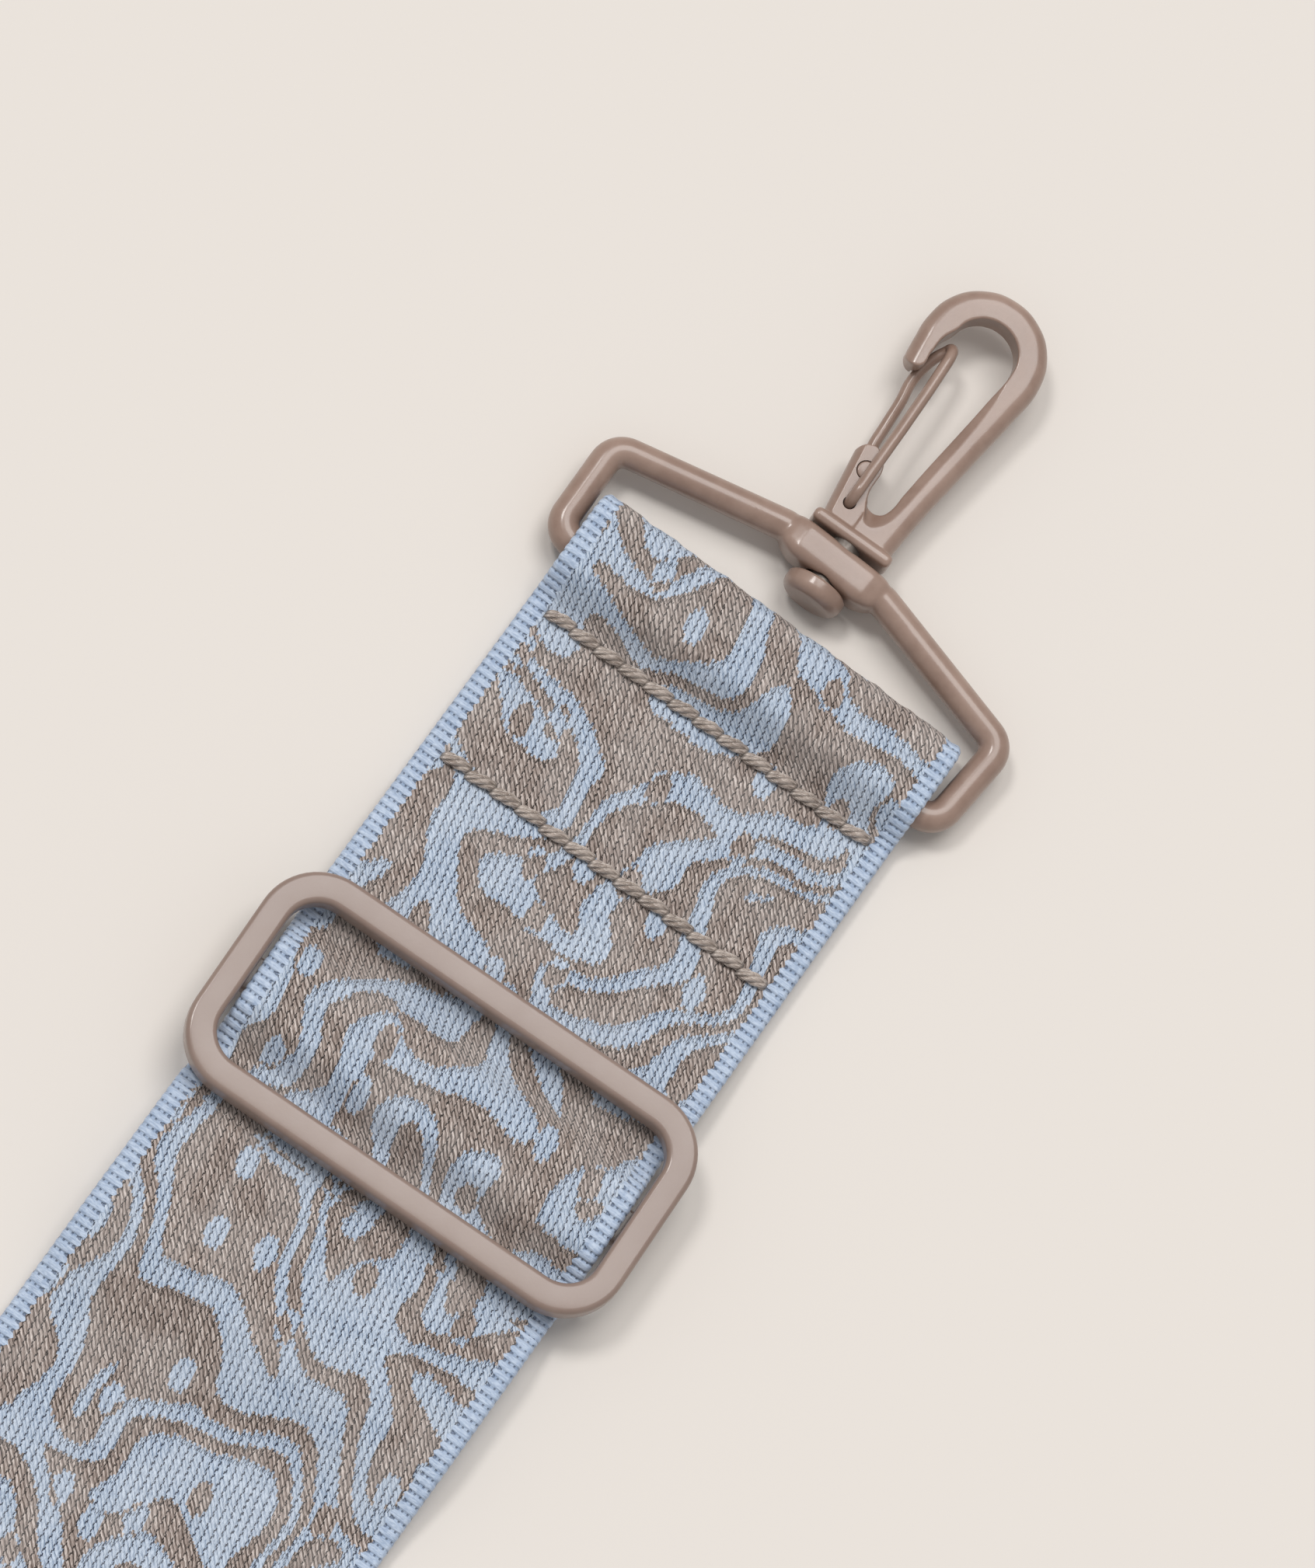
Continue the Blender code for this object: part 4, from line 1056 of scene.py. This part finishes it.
def build_stitches(thread):
    middles, pitch = stitch_places()
    pattern = one_stitch(pitch)
    rows = (
        ("stitch_row_1", FIRST_ROW_SETBACK, "hook_end"),
        ("stitch_row_2", SECOND_ROW_SETBACK, "hook_end"),
        ("stitch_row_3", SLIDER_SETBACK + TAIL_FIRST_ROW, "slider"),
        ("stitch_row_4", SLIDER_SETBACK + TAIL_SECOND_ROW, "slider"),
    )
    level = SECOND_PLY + WEBBING_THICKNESS / 2 + STITCH_THICKNESS * STITCH_LEVEL
    chance = np.random.default_rng(7)
    for name, setback, body in rows:
        stitches = []
        for middle in middles:
            copy = pattern.copy()
            copy.data = pattern.data.copy()
            bpy.context.scene.collection.objects.link(copy)
            wander, turn = chance.normal(0, STITCH_WANDER), chance.normal(0, STITCH_TURN)
            place = Matrix.Translation((FOLD_X - setback + wander, middle, level))
            copy.data.transform(place @ Matrix.Rotation(turn, 4, "Z"))
            stitches.append(copy)
        row = join(stitches, f"{name}_thread")
        settle(row, Matrix.Identity(4), thread, angle=70)
        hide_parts(name)
        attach(row, body)
    bpy.data.objects.remove(pattern)


# Hardware

def build_slider(paint):
    """A flat cast frame with round corners and soft rims, and its low middle bar."""
    deselect_all()
    bpy.ops.mesh.primitive_plane_add(size=1)
    slider = name_new("slider_cast")
    slider.scale = (SLIDER_LENGTH, SLIDER_WIDTH, 1)
    bpy.ops.object.transform_apply(location=False, rotation=False, scale=True)
    edit(slider, "FACE")
    bpy.ops.mesh.select_all(action="SELECT")
    bpy.ops.mesh.bevel(offset=SLIDER_CORNER, segments=SLIDER_CORNER_STEPS, affect="VERTICES")
    bpy.ops.mesh.select_all(action="SELECT")
    bpy.ops.mesh.inset(thickness=SLIDER_SIDE_BAR)
    end_edit()
    middle_faces = [face for face in slider.data.polygons if face.center.length < MM / 10]
    window = max(middle_faces, key=lambda face: face.area).index
    select_faces(slider, lambda face: face.index == window)
    inner_length = SLIDER_LENGTH - 2 * SLIDER_END_BAR
    made_length = SLIDER_LENGTH - 2 * SLIDER_SIDE_BAR
    bpy.ops.transform.resize(value=(inner_length / made_length, 1, 1))
    bpy.ops.mesh.delete(type="ONLY_FACE")
    end_edit()
    apply_modifier(slider, "SOLIDIFY", thickness=SLIDER_THICKNESS, offset=0)
    apply_modifier(
        slider, "BEVEL", width=SLIDER_RIM, segments=5, limit_method="ANGLE",
        angle_limit=math.radians(50),
    )

    lug_outer = SLIDER_WIDTH / 2 - SLIDER_RIM
    lug_inner = WEBBING_WIDTH / 2 + SEAT_GAP
    lug_middle = (lug_inner + lug_outer) / 2
    bar_size = (MIDDLE_BAR_WIDTH, 2 * lug_outer, MIDDLE_BAR_THICKNESS)
    lug_size = (MIDDLE_BAR_WIDTH * LUG_SHARE, lug_outer - lug_inner, MIDDLE_BAR_DROP)
    bar = block("middle_bar", (0, 0, -MIDDLE_BAR_DROP), bar_size, MIDDLE_BAR_RIM)
    for side in (1, -1):
        middle = (0, side * lug_middle, -MIDDLE_BAR_DROP / 2 - SEAT_GAP)
        cut_away(bar, block("lug", middle, lug_size, LUG_RIM, segments=3), "UNION")
    cut_away(slider, bar, "UNION")
    place = Matrix.Translation((FOLD_X - SLIDER_SETBACK, 0, SLIDER_MIDDLE))
    settle(slider, place @ Matrix.Rotation(SLIDER_YAW, 4, "Z"), paint, angle=50)
    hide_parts("slider_frame")
    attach(slider, "slider")


def ring_line():
    """The middle line of half the ring's wire, from its bottom bar round to the shoulder."""
    foot = WEBBING_WIDTH / 2 + SEAT_GAP + RING_WIRE / 2
    arm_line = RING_REACH + (BOSS_LENGTH - RING_ARM_WIRE) / 2
    shoulder = (arm_line - RING_SHOULDER_DROP, foot + RING_FLARE)
    corners = [Vector(corner) for corner in ((0, foot), shoulder, (arm_line, BOSS_WIDTH / 2))]
    points = [(0.0, 0.0)]
    start = Vector((0, 0))
    for number, corner in enumerate(corners[:2]):
        before = (corner - start).normalized()
        after = (corners[number + 1] - corner).normalized()
        bend = before.angle(after)
        reach = RING_CORNER * math.tan(bend / 2)
        normal = Vector((-before.y, before.x))
        centre = corner - before * reach - normal * RING_CORNER
        if (centre - corner).dot(after) < 0:
            centre = corner - before * reach + normal * RING_CORNER
        first = (corner - before * reach) - centre
        first_angle = math.atan2(first.y, first.x)
        points += arc(centre, RING_CORNER, first_angle, first_angle - bend, RING_BEND_STEPS)
        start = corner
    points.append(tuple(corners[2]))
    points.append((arm_line - RING_SAG, 0.0))
    return points


def lay_spline(line, points, closed=True, smooth=True):
    """Lay a curve through the points, smooth or straight, and give its knots."""
    line.splines.clear()
    spline = line.splines.new("BEZIER" if smooth else "POLY")
    knots = spline.bezier_points if smooth else spline.points
    knots.add(len(points) - 1)
    for knot, point in zip(knots, points):
        if smooth:
            knot.co = point
            knot.handle_left_type = "AUTO"
            knot.handle_right_type = "AUTO"
        else:
            knot.co = (*point, 1)
    spline.use_cyclic_u = closed
    return knots


def wire(name, points, radii, sides=0, closed=False, smooth=True, section=None):
    """A wire bent through the points, round or of the given section, as a closed mesh."""
    deselect_all()
    bpy.ops.curve.primitive_bezier_curve_add(radius=1)
    piece = name_new(name)
    line = piece.data
    for knot, radius in zip(lay_spline(line, points, closed, smooth), radii):
        knot.radius = radius
    line.dimensions = "3D"
    line.twist_mode = "Z_UP"
    line.resolution_u = WIRE_STEPS
    if section:
        line.bevel_mode = "OBJECT"
        line.bevel_object = section
    else:
        line.bevel_depth = 1
        line.bevel_resolution = sides // 2 - 2
    line.use_fill_caps = not closed
    make_active(piece)
    bpy.ops.object.convert(target="MESH")
    if section:
        bpy.data.objects.remove(section)
    weld(piece)
    return piece


def weld(piece):
    edit(piece)
    bpy.ops.mesh.select_all(action="SELECT")
    bpy.ops.mesh.remove_doubles(threshold=0.000002)
    bpy.ops.mesh.normals_make_consistent(inside=False)
    end_edit()


def plate(name, outline, thickness, rim):
    """A flat plate of the given outline, with round rims."""
    deselect_all()
    bpy.ops.curve.primitive_bezier_circle_add(radius=1)
    piece = name_new(name)
    line = piece.data
    line.dimensions = "2D"
    line.fill_mode = "BOTH"
    lay_spline(line, [(along, across, 0) for along, across in outline])
    line.resolution_u = PLATE_STEPS
    line.extrude = thickness / 2 - rim
    line.bevel_depth = rim
    line.bevel_resolution = PLATE_RIM_STEPS
    line.offset = -rim
    make_active(piece)
    bpy.ops.object.convert(target="MESH")
    weld(piece)
    return piece


def block(name, middle, size, rounding=0, segments=4):
    """A block about its middle, with rounded edges."""
    deselect_all()
    bpy.ops.mesh.primitive_cube_add(size=1, location=middle)
    piece = name_new(name)
    piece.scale = size
    bpy.ops.object.transform_apply(location=True, rotation=False, scale=True)
    if rounding:
        apply_modifier(piece, "BEVEL", width=rounding, segments=segments)
    return piece


def block_between(name, low, high):
    """A block with sharp edges between two corners."""
    low, high = Vector(low), Vector(high)
    return block(name, (low + high) / 2, high - low)


def rod(name, start, end, radius):
    start, end = Vector(start), Vector(end)
    run = end - start
    deselect_all()
    bpy.ops.mesh.primitive_cylinder_add(
        vertices=32, radius=radius, depth=run.length, location=(start + end) / 2,
        rotation=run.to_track_quat("Z", "Y").to_euler(),
    )
    piece = name_new(name)
    bpy.ops.object.transform_apply(location=True, rotation=True, scale=False)
    return piece


def remesh(piece, voxel):
    make_active(piece)
    piece.data.remesh_voxel_size = voxel
    bpy.ops.object.voxel_remesh()


def cast(piece, voxel, rounds):
    """Melt the joins of a casting together and soften its edges."""
    remesh(piece, voxel)
    apply_modifier(piece, "SMOOTH", factor=0.5, iterations=rounds)


def build_ring(number, place, paint):
    """A cast wire ring whose arms swell into the boss that carries the swivel."""
    half = ring_line()
    whole = [(along, across, 0) for along, across in half[1:]]
    whole += [(along, -across, 0) for along, across in reversed(half[1:-1])]
    radii = []
    for along, across, _ in whole:
        at_boss = abs(across) < BOSS_WIDTH / 2 + SEAT_GAP and along > RING_REACH / 2
        radii.append((RING_ARM_WIRE if at_boss else RING_WIRE) / 2)
    ring = wire(f"ring_{number}_cast", whole, radii, sides=24, closed=True, smooth=False)
    core = (BOSS_LENGTH, BOSS_WIDTH * BOSS_CORE_SHARE, BOSS_HEIGHT)
    boss = block("boss", (RING_REACH, 0, 0), core)
    front = (RING_REACH + BOSS_LENGTH / 2, 0, 0)
    shoulder = BOSS_WIDTH * (1 - BOSS_CORE_SHARE) / 2
    for side in (1, -1):
        select_faces(boss, lambda face: face.normal.y * side > 0.9)
        bpy.ops.mesh.extrude_region_move(
            TRANSFORM_OT_translate={"value": (0, side * shoulder, 0)}
        )
        bpy.ops.transform.resize(value=BOSS_TAPER, center_override=front)
        end_edit()
    apply_modifier(boss, "BEVEL", width=BOSS_EDGE, segments=4)
    cut_away(ring, boss, "UNION")
    bore_start, bore_end = ((RING_REACH + way * BOSS_LENGTH, 0, 0) for way in (-1, 1))
    cut_away(ring, rod("bore", bore_start, bore_end, SHANK_DIAMETER / 2 + SEAT_GAP))
    cast(ring, RING_VOXEL, RING_ROUNDS)
    settle(ring, place, paint, angle=60)
    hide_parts(f"ring_{number}")
    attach(ring, f"ring_end_{number}")


def in_shares(points, radius):
    return [(along * HOOK_REACH, across * radius) for along, across in points]


def in_millimetres(points):
    return [tuple(place * MM for place in point) for point in points]


def hook_shell():
    """The outside of the hook, closed straight across the gate."""
    return (
        in_shares(SPINE_OUTSIDE, HOOK_HEAD_RADIUS)
        + arc((HEAD_CENTRE, 0), HOOK_HEAD_RADIUS, -math.pi / 2 + 0.1, math.pi / 2, 6)
        + in_shares(NOSE_OUTSIDE, HOOK_HEAD_RADIUS)
        + in_millimetres(SHELL_CLOSING)
        + in_shares(EAR_OUTSIDE, HOOK_HEAD_RADIUS)
        + in_millimetres(SHELL_ROOT)
    )


def hook_window():
    """The inside of the hook, and the way out past the end of its nose."""
    return (
        in_shares(NOSE_END, HOOK_HEAD_RADIUS)
        + in_shares(NOSE_INSIDE, HOOK_INNER_RADIUS)
        + arc((HEAD_CENTRE, 0), HOOK_INNER_RADIUS, math.pi / 2 - 0.1, -math.pi / 2 + 0.1, 8)
        + in_shares(SPINE_INSIDE + WINDOW_FOOT + EAR_INSIDE, HOOK_INNER_RADIUS)
        + in_shares(EAR_TIP, HOOK_HEAD_RADIUS)
        + in_millimetres(OPENING_ROUND)
    )


def crest_cutter(side):
    """A wedge swept along the crest: it takes the slope off between the crest and the window."""
    deselect_all()
    bpy.ops.curve.primitive_bezier_circle_add(radius=1)
    section = name_new("crest_section")
    section.data.dimensions = "2D"
    lay_spline(section.data, [(*corner, 0) for corner in in_millimetres(CREST_SLOPE)], smooth=False)
    even = [1.0] * len(CREST_LINE)
    wedge = wire("crest_cutter", in_millimetres(CREST_LINE), even, section=section)
    make_active(wedge)
    bpy.ops.transform.translate(value=(0, 0, HOOK_THICKNESS / 2))
    if side < 0:
        bpy.ops.transform.mirror(constraint_axis=(False, False, True), center_override=(0, 0, 0))
    bpy.ops.object.transform_apply(location=True, rotation=True, scale=True)
    weld(wedge)
    remesh(wedge, CREST_VOXEL)
    return wedge


def gate_loop():
    sizes = (HOOK_REACH, HOOK_INNER_RADIUS, HOOK_THICKNESS)
    return [Vector(share * size for share, size in zip(point, sizes)) for point in GATE_LOOP]


def hole_place(hole, height=0):
    along, across = hole
    return Vector((along * HOOK_REACH, across * HOOK_INNER_RADIUS, height))


def build_hook(number, place, paint):
    """A cast snap hook with round flanks, a sloped inside, a square collar and the gate's ear."""
    hook = plate(f"hook_{number}_cast", hook_shell(), HOOK_THICKNESS, HOOK_RIM)
    cut_away(hook, plate("window", hook_window(), 2 * HOOK_THICKNESS, 0))
    root_end = (COLLAR_BASE + MM / 2, HOOK_REACH, HOOK_REACH)
    cut_away(hook, block_between("root", [-HOOK_REACH] * 3, root_end))
    for side in (1, -1):
        cut_away(hook, crest_cutter(side))
    collar_end = COLLAR_BASE + COLLAR_LENGTH
    collar_middle = (COLLAR_BASE + COLLAR_LENGTH / 2, 0, 0)
    collar_size = (COLLAR_LENGTH, COLLAR_WIDTH, COLLAR_HEIGHT)
    collar = block("collar", collar_middle, collar_size, COLLAR_ROUNDING)
    ear_end = EAR_TIP[1][0] * HOOK_REACH + 2 * MM
    ear_side = EAR_INSIDE[0][1] * HOOK_INNER_RADIUS / 2
    for side in (1, -1):
        low, high = sorted((side * (EAR_THICKNESS / 2 + EAR_PEENING), side * HOOK_THICKNESS))
        corner = (ear_end, HOOK_HEAD_RADIUS + MM, high)
        cut_away(hook, block_between("recess", (collar_end, ear_side, low), corner))
    cut_away(hook, collar, "UNION")
    upper, lower = (gate_loop()[step] for step in GATE_GROOVE_PLACES)
    overrun = (upper - lower).normalized() * GATE_WIRE
    cut_away(hook, rod("groove", lower - overrun, upper + overrun, GATE_WIRE / 2 + SEAT_GAP))
    cast(hook, HOOK_VOXEL, HOOK_ROUNDS)
    for hole, radius in ((FRONT_HOLE, GATE_WIRE / 2), (BACK_HOLE, PEENED_RADIUS)):
        low, high = hole_place(hole, -HOOK_THICKNESS), hole_place(hole, HOOK_THICKNESS)
        cut_away(hook, rod("hole", low, high, radius + HOLE_PLAY))
    settle(hook, place, paint, angle=50)
    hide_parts(f"hook_{number}")
    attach(hook, f"hook_body_{number}")


def build_gate(number, place, paint):
    """One sprung wire bent from the front of the ear, up under the nose and back to the ear."""
    loop = gate_loop()
    front_hole, back_hole = hole_place(FRONT_HOLE), hole_place(BACK_HOLE)
    leg_start = (front_hole.x + back_hole.x) / 2
    leg_end = leg_start + GATE_FLEX * HOOK_REACH
    high = EAR_THICKNESS / 2 + SEAT_GAP + GATE_WIRE / 2
    half_ear = EAR_THICKNESS / 2
    inside = Vector((0, 0, half_ear * 2 / 3))
    front = Vector((leg_end, loop[0].y, high * GATE_FRONT_RISE))
    back = Vector((leg_end, loop[-1].y * GATE_BACK_NARROWING, -high * GATE_BACK_RISE))
    front_bend = Vector((0, 0, high - front.z * GATE_FRONT_BEND))
    back_bend = Vector((0, 0, -high - back.z * GATE_BACK_BEND))
    points = [
        front_hole - inside,
        front_hole + inside,
        front_hole + Vector((GATE_WIRE / 2, 0, high * GATE_FRONT_RISE)),
        front_hole.lerp(front, GATE_FRONT_BEND) + front_bend,
        front,
        *loop,
        back,
        back_hole.lerp(back, GATE_BACK_BEND) + back_bend,
        back_hole + Vector((GATE_WIRE / 4, GATE_WIRE / 4, -high * GATE_BACK_START)),
        back_hole - inside,
        back_hole + Vector((0, 0, half_ear)),
    ]
    gate = wire(f"gate_{number}_wire", points, [GATE_WIRE / 2] * len(points), sides=16)
    peened_top = hole_place(BACK_HOLE, half_ear + PEENED_RISE)
    peened = rod("peened_end", back_hole - inside, peened_top, PEENED_RADIUS)
    apply_modifier(peened, "BEVEL", width=PEENED_ROUNDING, segments=3, limit_method="ANGLE")
    cut_away(gate, peened, "UNION")
    settle(gate, place, paint, angle=60)
    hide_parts(f"gate_{number}", f"gate_front_leg_{number}", f"gate_back_leg_{number}")
    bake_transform(gate)


def build_rivet(number, place, paint, bare):
    """The swivel rivet: a round painted head, and a shank that shows bare in the gap."""
    head_end = -BOSS_LENGTH / 2 - RIVET_HEAD_GAP
    head_start = head_end - RIVET_HEAD_LENGTH
    head_radius = RIVET_HEAD_DIAMETER / 2
    shank_radius = SHANK_DIAMETER / 2
    flat_radius = head_radius - RIVET_ROUNDING
    round_middle = (head_start + RIVET_ROUNDING, flat_radius)
    profile = [(head_start, flat_radius)]
    profile += arc(round_middle, RIVET_ROUNDING, math.pi, math.pi / 2, 6)[1:]
    profile += [(head_end - RIVET_EDGE, head_radius), (head_end, head_radius - RIVET_EDGE)]
    profile += [(head_end, shank_radius), (COLLAR_BASE + SEAT_GAP, shank_radius)]
    deselect_all()
    bpy.ops.mesh.primitive_circle_add(
        vertices=RIVET_SIDES, radius=flat_radius, fill_type="NGON", location=(0, 0, head_start)
    )
    rivet = name_new(f"swivel_rivet_{number}_turned")
    bpy.ops.object.transform_apply(location=True, rotation=False, scale=False)
    edit(rivet, "FACE")
    bpy.ops.mesh.select_all(action="SELECT")
    for (before, inner), (after, outer) in zip(profile, profile[1:]):
        bpy.ops.mesh.extrude_region_move(TRANSFORM_OT_translate={"value": (0, 0, after - before)})
        growth = (outer / inner, outer / inner, 1)
        bpy.ops.transform.resize(value=growth, center_override=(0, 0, after))
    end_edit()
    lie = place @ Matrix.Rotation(math.pi / 2, 4, "Y")
    settle(rivet, lie, paint, angle=35)
    rivet.data.materials.append(bare)
    inverse = lie.inverted()
    for face in rivet.data.polygons:
        centre = inverse @ face.center
        on_shank = math.hypot(centre.x, centre.y) < shank_radius + BARE_MARGIN
        if on_shank and centre.z > head_end + SEAT_GAP / 2:
            face.material_index = 1
    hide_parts(f"swivel_rivet_{number}")
    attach(rivet, f"hook_body_{number}")


def build_end(number, turn, paint, bare):
    lie = Matrix.Rotation(RING_YAW, 4, "Z") @ Matrix.Rotation(-HARDWARE_TILT, 4, "Y")
    bar = Matrix.Translation((FOLD_X - BAR_SETBACK, 0, BAR_HEIGHT))
    ring_place = Matrix.Rotation(turn, 4, "Z") @ bar @ lie
    on_boss = Matrix.Translation((RING_REACH, 0, 0))
    hook_place = ring_place @ on_boss @ Matrix.Rotation(HOOK_LEAN, 4, "Z")
    build_ring(number, ring_place, paint)
    build_hook(number, hook_place, paint)
    build_gate(number, hook_place, paint)
    build_rivet(number, hook_place, paint, bare)


# Studio

def build_floor():
    deselect_all()
    bpy.ops.mesh.primitive_plane_add(size=FLOOR_SIZE, location=(0, 0, 0))
    floor = name_new("floor")
    floor.data.materials.append(floor_finish())


def build_studio():
    scene = bpy.context.scene
    deselect_all()
    bpy.ops.object.camera_add(location=CAMERA_PLACE, rotation=CAMERA_TURN)
    camera = bpy.context.object
    camera.name = "camera"
    camera.data.sensor_width = 36
    camera.data.sensor_fit = "AUTO"
    camera.data.lens = CAMERA_LENS
    camera.data.clip_end = 20
    scene.camera = camera
    scene.view_settings.view_transform = "Standard"

    view = Euler(CAMERA_TURN).to_matrix()
    for name, side, spread, strength in (
        ("key_light", KEY_SIDE, KEY_SPREAD, KEY_STRENGTH),
        ("glint_light", GLINT_SIDE, GLINT_SPREAD, GLINT_STRENGTH),
    ):
        deselect_all()
        bpy.ops.object.light_add(type="SUN", location=PICTURE_MIDDLE + Vector((0, 0, 1)))
        lamp = bpy.context.object
        lamp.name = name
        lamp.data.angle = spread
        lamp.data.energy = strength
        lamp.data.color = LAMP_COLOUR
        lamp.rotation_euler = (view @ -Vector(side)).to_track_quat("-Z", "Y").to_euler()

    world = bpy.data.worlds.new("studio")
    scene.world = world
    world.use_nodes = True
    backdrop = world.node_tree.nodes["Background"]
    backdrop.inputs["Color"].default_value = SKY_COLOUR
    backdrop.inputs["Strength"].default_value = FILL_STRENGTH


def main():
    group = weave_group()
    finishes = (
        webbing_finish("woven_webbing", group, True),
        webbing_finish("woven_webbing_run", group, False),
    )
    paint = paint_finish("painted_zinc", PAINT, PAINT_DEEP, 0.36)
    slider_paint = paint_finish("painted_slider", SLIDER_PAINT, SLIDER_PAINT_DEEP, 0.42)
    build_floor()
    build_studio()
    build_webbing(finishes)
    build_stitches(thread_finish())
    build_slider(slider_paint)
    bare = bare_finish()
    build_end(1, 0, paint, bare)
    build_end(2, math.pi, paint, bare)
    deselect_all()


main()
